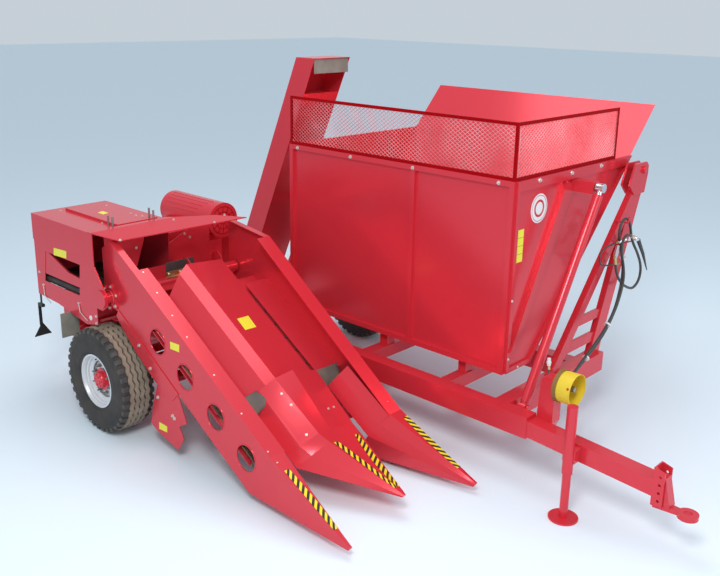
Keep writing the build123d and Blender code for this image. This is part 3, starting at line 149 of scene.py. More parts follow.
class Shader:
    """One node material with a Principled shader."""

    def __init__(self, name: str) -> None:
        """Starts an empty material of that name."""
        self.material = bpy.data.materials.new(name)
        self.material.use_nodes = True
        self.tree = self.material.node_tree
        self.tree.nodes.clear()
        self.surface = self.tree.nodes.new("ShaderNodeBsdfPrincipled")
        output = self.tree.nodes.new("ShaderNodeOutputMaterial")
        self.tree.links.new(self.surface.outputs["BSDF"], output.inputs["Surface"])

    def node(self, kind: str, settings: dict | None = None,
             values: dict | None = None) -> bpy.types.Node:
        """Adds a node.

        Args:
            kind: the node's type name.
            settings: attributes that are set before its sockets.
            values: numbers, colours or sockets for its inputs, by name or place.

        Returns:
            The new node.
        """
        made = self.tree.nodes.new(kind)
        for key, value in (settings or {}).items():
            setattr(made, key, value)
        for key, value in (values or {}).items():
            self.feed(made.inputs[key], value)
        return made

    def feed(self, target: bpy.types.NodeSocket, value: object) -> None:
        """Links or sets one input."""
        if isinstance(value, Socket):
            self.tree.links.new(value.link, target)
        elif isinstance(value, (tuple, list)) and len(value) == 3 and target.type == "RGBA":
            target.default_value = (*value, 1.0)
        else:
            target.default_value = value

    def maths(self, operation: str, first: Value, second: Value) -> Socket:
        """Math node of two values."""
        made = self.node("ShaderNodeMath", {"operation": operation}, {0: first, 1: second})
        return Socket(self, made.outputs[0])

    def place(self, output: str = "Object") -> Socket:
        """Object coordinates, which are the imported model's metres, or another map by name."""
        return Socket(self, self.node("ShaderNodeTexCoord").outputs[output])

    def split(self, vector: Socket) -> tuple[Socket, Socket, Socket]:
        """The three parts of a vector."""
        made = self.node("ShaderNodeSeparateXYZ", None, {0: vector})
        return tuple(Socket(self, out) for out in made.outputs)

    def noise(self, scale: float, detail: float = 4.0) -> Socket:
        """Noise on object coordinates, between zero and one."""
        made = self.node("ShaderNodeTexNoise", None,
                         {"Vector": self.place(), "Scale": scale, "Detail": detail})
        return Socket(self, made.outputs[0])

    def ramp(self, value: Socket, low: float, high: float) -> Socket:
        """Stretches the part between low and high to zero and one."""
        made = self.node("ShaderNodeMapRange", {"clamp": True},
                         {"Value": value, "From Min": low, "From Max": high})
        return Socket(self, made.outputs[0])

    def mix(self, factor: Value, first: Union[Socket, Colour],
            second: Union[Socket, Colour]) -> Socket:
        """Blend of two colours, whose inputs are the node's sixth and seventh."""
        made = self.node("ShaderNodeMix", {"data_type": "RGBA"}, {0: factor, 6: first, 7: second})
        return Socket(self, made.outputs[2])

    def bump(self, height: Socket, strength: float, distance: float) -> None:
        """Feeds the normal with a height."""
        made = self.node("ShaderNodeBump", None,
                         {"Height": height, "Strength": strength, "Distance": distance})
        self.feed(self.surface.inputs["Normal"], Socket(self, made.outputs[0]))

    def finish(self, **values: object) -> bpy.types.Material:
        """Sets the surface's inputs by name, with spaces as underscores."""
        for key, value in values.items():
            self.feed(self.surface.inputs[key.replace("_", " ")], value)
        return self.material


@dataclass(frozen=True)
class Paint:
    """Sprayed gloss paint on sheet and tube, with faint waves, and dust below a height."""

    name: str
    colour: Colour
    patch_colour: Colour
    dust: float = 0.25
    roughness: float = 0.34
    earth: Colour = (0.30, 0.22, 0.17)
    dust_top: float = 0.9
    coat: float = 0.08
    coat_roughness: float = 0.10
    specular: float = 0.02

    def material(self) -> bpy.types.Material:
        """Node material of the paint."""
        shader = Shader(self.name)
        _, _, height = shader.split(shader.place())
        patches = shader.noise(2.2, 3.0)
        waves = shader.noise(9.0, 2.0)
        specks = shader.noise(55.0, 2.0)
        low = 1 - shader.ramp(height, 0.0, self.dust_top)
        dust = shader.ramp(patches, 0.52, 0.78) * low * self.dust
        # Patches blend the paint's colour with its second colour. For most paints this is random tone;
        # on the mesh's paint the patches are painted glints of light.
        colour = shader.mix(shader.ramp(patches, 0.3, 0.7), self.colour, self.patch_colour)
        colour = shader.mix(dust, colour, self.earth)
        rough = self.roughness + shader.ramp(specks, 0.35, 0.75) * 0.10 + dust * 0.4
        shader.bump(waves * 0.7 + specks * 0.3, 0.12, 0.004)
        return shader.finish(Base_Color=colour, Roughness=rough, Coat_Weight=self.coat,
                             Coat_Roughness=self.coat_roughness, Specular_IOR_Level=self.specular)


@dataclass(frozen=True)
class Steel:
    """Bare metal: turned, zinc plated, galvanised or worn."""

    name: str
    colour: Colour
    stain: Colour
    stained: float
    roughness: float
    metallic: float = 0.9

    def material(self) -> bpy.types.Material:
        """Node material of the metal."""
        shader = Shader(self.name)
        blotch = shader.noise(14.0, 6.0)
        grain = shader.noise(180.0, 2.0)
        mask = shader.ramp(blotch, 0.42, 0.72) * self.stained
        colour = shader.mix(mask, self.colour, self.stain)
        rough = self.roughness + mask * 0.3 + grain * 0.08
        shader.bump(grain * 0.5 + blotch * 0.5, 0.18, 0.001)
        return shader.finish(Base_Color=colour, Roughness=rough, Metallic=self.metallic - mask * 0.6)


@dataclass(frozen=True)
class Rubber:
    """Matt rubber with blotches of dry earth."""

    name: str
    colour: Colour
    earth: Colour
    earthy: float
    roughness: float = 0.72

    def material(self) -> bpy.types.Material:
        """Node material of the rubber."""
        shader = Shader(self.name)
        blotch = shader.noise(9.0, 5.0)
        grain = shader.noise(240.0, 2.0)
        mask = shader.ramp(blotch, 0.3, 0.75) * self.earthy
        colour = shader.mix(mask, self.colour, self.earth)
        shader.bump(grain, 0.25, 0.0012)
        return shader.finish(Base_Color=colour, Roughness=self.roughness + mask * 0.15)


@dataclass(frozen=True)
class Plain:
    """Printed or moulded surface of one colour with a faint grain."""

    name: str
    colour: Colour
    roughness: float = 0.45

    def material(self) -> bpy.types.Material:
        """Node material of the surface."""
        shader = Shader(self.name)
        grain = shader.noise(70.0, 4.0)
        mask = shader.ramp(grain, 0.45, 0.8) * 0.18
        darker = tuple(part * 0.6 for part in self.colour)
        colour = shader.mix(mask, self.colour, darker)
        shader.bump(grain, 0.08, 0.0008)
        return shader.finish(Base_Color=colour, Roughness=self.roughness + mask)


@dataclass(frozen=True)
class Hazard:
    """Warning tape: slanted bars across a strip, in metres along its own map."""

    name: str
    bars: float
    lean: float
    yellow: Colour = (0.90, 0.70, 0.02)
    black: Colour = (0.02, 0.02, 0.02)

    def material(self) -> bpy.types.Material:
        """Node material of the tape."""
        shader = Shader(self.name)
        along, across, _ = shader.split(shader.place("UV"))
        phase = shader.maths("FRACT", along * self.bars + across * self.lean, 0.0)
        colour = shader.mix(phase > 0.5, self.yellow, self.black)
        return shader.finish(Base_Color=colour, Roughness=0.42 + shader.noise(30.0) * 0.12)


class Finish(Enum):
    """Every finish on the machine."""

    RED = Paint("red_paint", (0.52, 0.0004, 0.003), (0.45, 0.0003, 0.0025))
    # Darker copy of the red paint, which is painted shade, with more dust.
    RED_PAINTED_SHADE = Paint("red_paint_with_painted_shade", (0.38, 0.0004, 0.003), (0.32, 0.0003, 0.0025), 0.4)
    # Mesh paint: a lighter red with pinkish-white patches, which are painted glints and glare of light
    # on the strands, plus a little dust.
    MESH = Paint("mesh_paint_with_painted_glints", (0.58, 0.05, 0.06), (0.74, 0.44, 0.45), 0.1, 0.22)
    CHAIN = Steel("chain_steel", (0.10, 0.085, 0.065), (0.30, 0.20, 0.07), 0.6, 0.40, 0.7)
    BRASS = Steel("brass", (0.62, 0.47, 0.20), (0.50, 0.44, 0.33), 0.5, 0.30)
    BAND = Plain("cup_band", (0.24, 0.13, 0.03), 0.55)
    RIM = Paint("rim_paint", (0.62, 0.63, 0.64), (0.54, 0.55, 0.57), 0.5, 0.30)
    ROD = Steel("bright_rod", (0.75, 0.75, 0.77), (0.5, 0.5, 0.52), 0.1, 0.16)
    ZINC = Steel("zinc", (0.80, 0.79, 0.74), (0.62, 0.56, 0.42), 0.5, 0.30)
    WORN = Steel("worn_steel", (0.22, 0.19, 0.16), (0.20, 0.10, 0.05), 0.8, 0.45, 0.8)
    TYRE = Rubber("tyre_rubber", (0.028, 0.025, 0.024), (0.16, 0.12, 0.09), 0.30)
    LUG = Rubber("lug_rubber", (0.040, 0.035, 0.032), (0.15, 0.12, 0.10), 0.35, 0.42)
    TREAD = Rubber("tread_earth", (0.24, 0.19, 0.14), (0.44, 0.36, 0.27), 0.75)
    FLAP = Rubber("flap_rubber", (0.045, 0.038, 0.036), (0.14, 0.11, 0.10), 0.5)
    WORN_FLAP = Rubber("worn_flap_rubber", (0.10, 0.085, 0.078), (0.22, 0.15, 0.11), 0.8)
    MUDFLAP = Rubber("mudflap_rubber", (0.22, 0.21, 0.17), (0.34, 0.32, 0.27), 0.8)
    HOSE = Rubber("hose_rubber", (0.035, 0.037, 0.036), (0.11, 0.10, 0.09), 0.35, 0.42)
    YELLOW = Plain("yellow_guard", (0.80, 0.58, 0.03))
    LABEL = Plain("label_yellow", (0.88, 0.80, 0.05), 0.4)
    WHITE = Plain("badge_white", (0.80, 0.80, 0.80), 0.4)
    BLACK = Plain("black_parts", (0.02, 0.02, 0.02), 0.5)
    HAZARD = Hazard("hazard_tape", 19.0, 0.9)

    def get(self) -> bpy.types.Material:
        """The finish's material, made once."""
        found = bpy.data.materials.get(self.value.name)
        return found or self.value.material()


class Piece:
    """A mesh that is built with bmesh operators and placed in the frame."""

    def __init__(self, name: str) -> None:
        """Starts an empty mesh."""
        self.name = name
        self.bm = bmesh.new()

    def block(self, low: Vector, high: Vector) -> list[bmesh.types.BMVert]:
        """Adds a box between two corners."""
        made = bmesh.ops.create_cube(self.bm, size=1.0)["verts"]
        bmesh.ops.scale(self.bm, vec=high - low, verts=made)
        bmesh.ops.translate(self.bm, vec=(low + high) / 2, verts=made)
        return made

    def put(self, verts: Sequence[bmesh.types.BMVert], turn: Matrix, place: Vector) -> None:
        """Turns some vertices about the origin, then moves them to a place."""
        bmesh.ops.rotate(self.bm, verts=verts, cent=(0.0, 0.0, 0.0), matrix=turn)
        bmesh.ops.translate(self.bm, vec=place, verts=verts)

    def bar(self, start: Vector, end: Vector, radius: float, sides: int,
            tip: float | None = None) -> None:
        """Adds a round or tapered bar between two points."""
        run = end - start
        tip = radius if tip is None else tip
        made = bmesh.ops.create_cone(self.bm, cap_ends=True, segments=sides, radius1=radius,
                                     radius2=tip, depth=run.length)["verts"]
        self.put(made, UP.rotation_difference(run).to_matrix(), (start + end) / 2)

    def bolt(self, place: Vector, out: Vector, size: float) -> None:
        """Adds a hexagon head on its washer."""
        way = out.normalized()
        seat = place + way * size * 0.2
        self.bar(place, seat, size * 0.85, 12)
        self.bar(seat, place + way * size * 0.75, size * 0.6, 6)

    def plate(self, corners: Sequence[Vector], depth: Vector) -> None:
        """Adds a flat plate through corners, drawn out by its depth."""
        face = self.bm.faces.new([self.bm.verts.new(c) for c in corners])
        made = bmesh.ops.extrude_face_region(self.bm, geom=[face], use_keep_orig=True)
        moved = [v for v in made["geom"] if isinstance(v, bmesh.types.BMVert)]
        bmesh.ops.translate(self.bm, vec=depth, verts=moved)

    def spin(self, profile: Sequence[Spot2], centre: Vector, steps: int, axis: Vector = LEFT) -> None:
        """Adds a turned shape.

        Args:
            profile: outline as radius and place along the axis, closed unless both ends lie on it.
            centre: point on the axis.
            steps: how many steps make a full turn.
            axis: way of the axis.
        """
        across = FORWARD if abs(axis.x) < 0.5 else LEFT
        verts = [self.bm.verts.new(centre + across * r + axis * h) for r, h in profile]
        edges = [self.bm.edges.new((a, b)) for a, b in zip(verts, verts[1:] + verts[:1])]
        if profile[0][0] == 0.0 and profile[-1][0] == 0.0:
            self.bm.edges.remove(edges.pop())
        bmesh.ops.spin(self.bm, geom=verts + edges, cent=centre, axis=axis,
                       angle=math.tau, steps=steps, use_merge=True, use_duplicate=False)

    def hoop(self, radius: float, section: Spot2, sides: int, centre: Vector, steps: int,
             axis: Vector) -> None:
        """Adds a ring of wire.

        Args:
            radius: radius of the ring at the wire's middle.
            section: half the wire's thickness across and along the axis.
            sides: how many sides the wire has.
            centre: middle of the ring.
            steps: how many steps make a full turn.
            axis: way of the ring's axis.
        """
        across, along = section
        angles = [math.tau * i / sides for i in range(sides)]
        wire = [(radius + across * math.cos(a), along * math.sin(a)) for a in angles]
        self.spin(wire, centre, steps, axis)

    def finish(self, body: str, look: Finish, bevel: float = 0.0, smooth: bool = False,
               closed: bool = True) -> bpy.types.Object:
        """Makes the object, dresses it and lets it ride on a body.

        Args:
            body: the body that it rides on.
            look: its finish.
            bevel: width of its rounded edges, or zero for none.
            smooth: whether round faces are shaded smooth.
            closed: whether its faces enclose a space and get their normals recalculated.

        Returns:
            The new object.
        """
        bmesh.ops.remove_doubles(self.bm, verts=self.bm.verts, dist=1e-6)
        if closed:
            bmesh.ops.recalc_face_normals(self.bm, faces=self.bm.faces)
        mesh = bpy.data.meshes.new(self.name)
        self.bm.to_mesh(mesh)
        self.bm.free()
        made = bpy.data.objects.new(self.name, mesh)
        bpy.context.scene.collection.objects.link(made)
        mesh.materials.append(look.get())
        if smooth:
            mesh.shade_smooth()
            mesh.set_sharp_from_angle(angle=math.radians(40.0))
        if bevel > 0:
            edge = made.modifiers.new("edge", "BEVEL")
            edge.width = bevel
            edge.segments = 2
            edge.limit_method = "ANGLE"
        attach(made, body)
        LOG.info("%s: %d faces", self.name, len(mesh.polygons))
        return made


@dataclass
class NodeFinishes:
    """Gives every carried-over node its finish."""

    rest: Finish = Finish.RED
    looks: tuple[tuple[Finish, tuple[str, ...]], ...] = (
        (Finish.FLAP, ("husking_rolls",)),
        (Finish.MUDFLAP, ("rubber_flaps",)),
        (Finish.BLACK, ("reflector",)),
        (Finish.YELLOW, ("pto_cup",)),
        (Finish.TYRE, ("tyre_right", "tyre_left")),
        (Finish.RIM, ("rim_right", "rim_left")),
        (Finish.ROD, ("ram_rod_front", "ram_rod_rear", "lift_rod")),
        (Finish.WORN, ("gathering_chains", "roll_right_outer", "roll_right_inner", "roll_left_outer",
                       "roll_left_inner", "pto_shaft")),
    )

    def dress(self, nodes: dict[str, bpy.types.Object]) -> None:
        """Sets the material of the nodes."""
        found = {name: look for look, names in self.looks for name in names}
        for name, node in nodes.items():
            node.data.materials.clear()
            node.data.materials.append(found.get(name, self.rest).get())
        LOG.info("dressed %d nodes", len(nodes))


@dataclass
class Tyres:
    """Two wide implement tyres with zigzag ribs, shoulder lugs and earth on the ribs.

    Profiles are given as radius and place across the tyre. The flank's places count from
    the tyre's side, and the ribs' from its middle.
    """

    radius: float = WHEEL_RADIUS
    half: float = 0.145
    tread: float = 0.012
    flank: tuple[Spot2, ...] = ((0.216, 0.026), (0.232, 0.018), (0.240, 0.006), (0.262, 0.001),
                                (0.300, 0.0), (0.338, 0.004), (0.345, 0.002), (0.352, 0.006),
                                (0.385, 0.012), (0.402, 0.024))
    shoulder: float = 0.042
    inside: tuple[Spot2, ...] = ((0.216, 0.10), (0.30, 0.125), (0.385, 0.105),
                                 (0.385, -0.105), (0.30, -0.125), (0.216, -0.10))
    rib_places: tuple[Spot2, ...] = ((-0.066, 0.030), (-0.022, 0.028), (0.022, 0.028),
                                     (0.066, 0.030))
    rib_foot: float = 0.003
    rib_sink: float = 0.004
    waves: int = 36
    swing: float = 0.007
    lug_low: Spot = (-0.030, -0.022, -0.024)
    lug_high: Spot = (-0.001, 0.022, 0.024)
    lug_place: float = 0.112
    lug_drop: float = 0.012
    lug_narrowing: float = 0.8
    bar_low: Spot = (0.372, 0.0, -0.008)
    bar_high: Spot = (-0.006, 0.012, 0.008)
    bar_place: float = 0.121
    bar_lift: float = 0.004

    @property
    def base(self) -> float:
        """Radius at the foot of the tread."""
        return self.radius - self.tread

    def carcass(self, side: str, centre: Vector) -> None:
        """Side walls and shoulders of one tyre."""
        flank = [(r, -self.half + w) for r, w in self.flank + ((self.base, self.shoulder),)]
        ring = flank + [(self.base, 0.0)] + [(r, -w) for r, w in reversed(flank)]
        piece = Piece("tyre_carcass_" + side)
        piece.spin(ring + list(self.inside), centre, 96)
        made = piece.finish("wheel_" + side, Finish.TYRE, smooth=True)
        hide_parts("tyre_" + side)

    def ribs(self, side: str, centre: Vector) -> None:
        """Zigzag ribs round the tread."""
        piece = Piece("tyre_ribs_" + side)
        low = self.base - self.rib_sink
        for middle, width in self.rib_places:
            right, left = middle - width / 2, middle + width / 2
            outline = [(low, right - self.rib_foot), (self.radius, right), (self.radius, left),
                       (low, left + self.rib_foot)]
            before = set(piece.bm.verts)
            piece.spin(outline, centre, self.waves * 4)
            for vert in set(piece.bm.verts) - before:
                off = vert.co - centre
                phase = math.atan2(off.z, off.x) / math.tau * self.waves
                vert.co.y += self.swing * (4 * abs(phase % 1.0 - 0.5) - 1)
        made = piece.finish("wheel_" + side, Finish.TREAD)

    def lug(self, piece: Piece, edge: int, turn: Matrix, centre: Vector) -> None:
        """Adds a lug on one shoulder and the bar below it on the flank.

        Args:
            piece: the piece that takes the lug.
            edge: -1 for the tyre's right shoulder, 1 for its left.
            turn: turn round the axle.
            centre: middle of the tyre.
        """
        low = Vector(self.lug_low) + FORWARD * self.base
        verts = piece.block(low, Vector(self.lug_high) + FORWARD * self.radius)
        for vert in verts:
            outer = vert.co.y < 0
            if outer and vert.co.x > self.base:
                vert.co.x -= self.lug_drop
            if outer:
                vert.co.z *= self.lug_narrowing
            vert.co.y = edge * (self.lug_place - vert.co.y)
        piece.put(verts, turn, centre)
        verts = piece.block(Vector(self.bar_low), Vector(self.bar_high) + FORWARD * self.base)
        middle = sum(vert.co.x for vert in verts) / len(verts)
        for vert in verts:
            lift = self.bar_lift if vert.co.x > middle else 0.0
            vert.co.y = edge * (self.bar_place + vert.co.y - lift)
        piece.put(verts, turn, centre)

    def shoulders(self, side: str, centre: Vector) -> None:
        """Lugs on both shoulders."""
        piece = Piece("tyre_shoulders_" + side)
        for edge in (-1, 1):
            for i in range(self.waves):
                turn = Matrix.Rotation(math.tau * (i + 0.25) / self.waves, 3, "Y")
                self.lug(piece, edge, turn, centre)
        made = piece.finish("wheel_" + side, Finish.LUG, bevel=0.005)

    def build(self) -> None:
        """Both tyres."""
        for side, y, _ in WHEELS:
            centre = Layout.point(0.0, y, self.radius)
            self.carcass(side, centre)
            self.ribs(side, centre)
            self.shoulders(side, centre)


@dataclass
class ExpandedMesh:
    """Expanded steel mesh above the bunker's right and front sides, in its angle frame."""

    rear: float = 0.226
    front: float = 2.506
    right: float = 0.465
    far: float = 1.880
    low: float = 2.118
    high: float = 2.523
    border: float = 0.024
    leg: float = 0.012
    inset: float = 0.006
    diamond: float = 0.043
    rise: float = 0.030
    strand: float = 0.0045

    def lattice(self, piece: Piece, length: float, height: float, place: Matrix) -> None:
        """Adds one field of diamonds, cut to a rectangle.

        Args:
            piece: the piece that takes the field.
            length: length of the field.
            height: height of the field.
            place: move of the field from the ground plane to its side.
        """
        bm = bmesh.new()
        columns = int(length / self.diamond) + 2
        rows = int(height / self.rise) + 2
        wide, high = self.diamond / 2, self.rise / 2
        for row in range(rows * 2):
            for column in range(columns):
                x = (column + (0.5 if row % 2 else 0.0)) * self.diamond
                y = row * self.rise / 2
                corners = [(x - wide, y), (x, y - high), (x + wide, y), (x, y + high)]
                bm.faces.new([bm.verts.new((a, b, 0.0)) for a, b in corners])
        bmesh.ops.remove_doubles(bm, verts=bm.verts, dist=0.0005)
        for spot, way in (((0, 0, 0), (-1, 0, 0)), ((length, 0, 0), (1, 0, 0)),
                          ((0, 0, 0), (0, -1, 0)), ((0, height, 0), (0, 1, 0))):
            geometry = bm.verts[:] + bm.edges[:] + bm.faces[:]
            bmesh.ops.bisect_plane(bm, geom=geometry, plane_co=spot, plane_no=way,
                                   clear_outer=True)
        bmesh.ops.wireframe(bm, faces=bm.faces[:], thickness=self.strand, offset=0.0,
                            use_replace=True, use_boundary=True, use_even_offset=True)
        bmesh.ops.transform(bm, matrix=place, verts=bm.verts)
        mesh = bpy.data.meshes.new("field")
        bm.to_mesh(mesh)
        bm.free()
        piece.bm.from_mesh(mesh)
        bpy.data.meshes.remove(mesh)

    def fields(self) -> None:
        """Mesh on the right and the front side."""
        piece = Piece("bunker_mesh_fields")
        edge = self.border
        foot = self.low + edge
        height = self.high - self.low - 2 * edge
        upright = Matrix.Rotation(math.pi / 2, 4, "X")
        side = Matrix.Translation(Layout.point(self.rear + edge, self.right - self.inset, foot))
        self.lattice(piece, self.front - self.rear - 2 * edge, height, side @ upright)
        front = Matrix.Translation(Layout.point(self.front - self.inset, self.right + edge, foot))
        front = front @ Matrix.Rotation(math.pi / 2, 4, "Z")
        self.lattice(piece, self.far - self.right - 2 * edge, height, front @ upright)
        # The mesh takes the paint with painted glints.
        made = piece.finish("bunker", Finish.MESH)
        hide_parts("bunker_mesh")

    def angles(self) -> None:
        """Angle frame round the mesh."""
        rim = Piece("bunker_mesh_frame")
        edge = self.border
        outer, inner = self.right - self.leg, self.right
        rear, front = self.rear, self.front
        for z in (self.low, self.high - edge):
            top = z + edge
            rim.block(Layout.point(rear, outer, z), Layout.point(front, inner, top))
            rim.block(Layout.point(front - self.leg, inner, z), Layout.point(front, self.far, top))
        for x in (rear, front - edge):
            rim.block(Layout.point(x, outer - 0.001, self.low),
                      Layout.point(x + edge, inner, self.high))
        rim.block(Layout.point(front - self.leg, self.far - edge, self.low),
                  Layout.point(front, self.far, self.high))
        # The frame's angles take the darker red: painted shade.
        made = rim.finish("bunker", Finish.RED_PAINTED_SHADE, bevel=0.001)

    def build(self) -> None:
        """Mesh and its frame."""
        self.fields()
        self.angles()


@dataclass(frozen=True)
class Tape:
    """One strip of warning tape on a side of a nose.

    The side lies between two edges, each from the nose's foot to its tip, as distance down
    the slope, place across and height. The strip covers a share of their length, and a
    share of the way from the first edge to the second, which differs at its two ends.
    """

    name: str
    first: Span
    second: Span
    along: Spot2
    start: Spot2
    end: Spot2


@dataclass
class NoseTapes:
    """Hazard stripes on the three noses."""

    lift: float = 0.0012
    steps: int = 12
    tapes: tuple[Tape, ...] = (
        Tape("tape_right", ((1.773, -1.250, 0.0), (2.560, -1.234, 0.085)),
             ((1.773, -1.130, 0.0), (2.560, -1.220, 0.085)),
             (0.164, 0.81), (0.16, 0.56), (0.0, 1.0)),
        Tape("tape_ridge", ((1.840, -0.748, -0.024), (2.458, -0.646, 0.121)),
             ((1.840, -0.632, -0.052), (2.458, -0.636, 0.121)),
             (0.03, 0.87), (0.22, 0.62), (0.0, 1.0)),
        Tape("tape_middle", ((1.840, -0.632, -0.052), (2.458, -0.636, 0.121)),
             ((1.840, -0.368, -0.140), (2.458, -0.625, 0.112)),
             (0.0, 0.87), (0.72, 0.89), (0.10, 0.92)),
        Tape("tape_left", ((1.860, -0.030, 0.0), (2.647, -0.056, 0.137)),
             ((1.860, -0.150, 0.0), (2.647, -0.070, 0.137)),
             (0.09, 0.79), (0.02, 0.40), (0.0, 1.0)),
    )

    def lay(self, tape: Tape) -> None:
        """Lays one strip on its side of the nose."""
        piece = Piece(tape.name)
        made = bmesh.ops.create_grid(piece.bm, x_segments=self.steps, y_segments=1, size=0.5)
        grid = made["verts"]
        layer = piece.bm.loops.layers.uv.new("tape")
        parts = {vert: (vert.co.x + 0.5, vert.co.y + 0.5) for vert in grid}
        lines = [[Layout.on_slope(*spot) for spot in edge] for edge in (tape.first, tape.second)]
        share = tape.along[1] - tape.along[0]
        length = (lines[0][1] - lines[0][0]).length * share
        for vert, (part, side) in parts.items():
            down = tape.along[0] + part * share
            edges = [a + part * (b - a) for a, b in zip(tape.start, tape.end)]
            across = edges[0] + side * (edges[1] - edges[0])
            low, high = (line[0].lerp(line[1], down) for line in lines)
            vert.co = low.lerp(high, across)
        for face in piece.bm.faces:
            for loop in face.loops:
                part, side = parts[loop.vert]
                loop[layer].uv = (part * length, side)
        piece.bm.normal_update()
        way = sum((face.normal for face in piece.bm.faces), Vector()).normalized()
        if way.z < 0:
            bmesh.ops.reverse_faces(piece.bm, faces=piece.bm.faces[:])
            way = -way
        bmesh.ops.translate(piece.bm, vec=way * self.lift, verts=grid)
        made = piece.finish("head", Finish.HAZARD, closed=False)

    def build(self) -> None:
        """All strips."""
        for tape in self.tapes:
            self.lay(tape)


@dataclass(frozen=True)
class Label:
    """One blank label through four corners, with its outward side and the lines across it."""

    name: str
    body: str
    corners: tuple[Spot, Spot, Spot, Spot]
    out: Spot = (0.0, -1.0, 1.0)
    lines: int = 0


@dataclass
class Labels:
    """Blank labels and the round blank plate."""

    gap: float = 0.0002
    thickness: float = 0.0008
    line: float = 0.0012
    labels: tuple[Label, ...] = (
        Label("label_lid", "lid", ((-0.559, -0.964, 1.602), (-0.581, -0.906, 1.602),
                                   (-0.491, -0.906, 1.602), (-0.471, -0.965, 1.602))),
        Label("label_box", "frame", ((-0.626, -1.3355, 1.362), (-0.427, -1.3355, 1.374),
                                     (-0.437, -1.3355, 1.312), (-0.637, -1.3355, 1.299))),
        Label("label_wall", "head", ((0.806, -1.250, 0.938), (0.916, -1.250, 0.944),
                                     (0.912, -1.250, 0.886), (0.806, -1.250, 0.883))),
        Label("label_guard", "head", ((0.614, -1.250, 0.237), (0.715, -1.250, 0.235),
                                      (0.711, -1.250, 0.185), (0.609, -1.250, 0.179))),
        Label("label_hood", "head", ((0.843, -0.668, 0.971), (0.798, -0.523, 0.947),
                                     (0.902, -0.531, 0.885), (0.944, -0.673, 0.909))),
        Label("label_bunker", "bunker", ((2.506, 0.489, 1.52), (2.506, 0.605, 1.52),
                                         (2.506, 0.605, 1.76), (2.506, 0.489, 1.76)),
              (1.0, 0.0, 0.0), 3),
    )
    disc_centre: Spot = (2.506, 0.785, 1.881)
    disc_radius: float = 0.108
    disc_rim: float = 0.0010
    disc_face: float = 0.0014
    disc_flat: float = 0.97
    ring_top: float = 0.0019
    rings: tuple[Spot2, ...] = ((0.86, 0.90), (0.44, 0.60))

    def add(self, label: Label) -> None:
        """One label as a thin plate, with fine lines between its fields."""
        corners = [Layout.point(*corner) for corner in label.corners]
        way = (corners[1] - corners[0]).cross(corners[2] - corners[0]).normalized()
        way = way if way.dot(Vector(label.out)) > 0 else -way
        piece = Piece(label.name)
        piece.plate([corner + way * self.gap for corner in corners], way * self.thickness)
        piece.finish(label.body, Finish.LABEL)
        if label.lines:
            lines = Piece(label.name + "_lines")
            top = way * self.thickness
            for i in range(1, label.lines + 1):
                part = i / (label.lines + 1)
                start, end = corners[0].lerp(corners[3], part), corners[1].lerp(corners[2], part)
                lines.bar(start + top, end + top, self.line, 6)
            lines.finish(label.body, Finish.BLACK)

    def disc(self) -> None:
        """Round blank plate on the bunker's front wall, with two red rings."""
        centre = Layout.point(*self.disc_centre)
        r, rim, face = self.disc_radius, self.disc_rim, self.disc_face
        piece = Piece("plate_round")
        piece.spin([(0.0, 0.0), (r, 0.0), (r, rim), (r * self.disc_flat, face), (0.0, face)],
                   centre, 48, FORWARD)
        piece.finish("bunker", Finish.WHITE, smooth=True)
        ring = Piece("plate_round_ring")
        for inner, outer in self.rings:
            ring.spin([(r * inner, rim), (r * outer, rim), (r * outer, self.ring_top),
                       (r * inner, self.ring_top)], centre, 48, FORWARD)
        ring.finish("bunker", Finish.RED)

    def build(self) -> None:
        """All labels."""
        for label in self.labels:
            self.add(label)
        self.disc()


@dataclass(frozen=True)
class BoltRow:
    """Bolts on one face of a body.

    With on_slope, the spots and the outward way are given down, across and square to the slope.
    """

    name: str
    body: str
    out: Spot
    size: float
    spots: tuple[Spot, ...]
    on_slope: bool = False


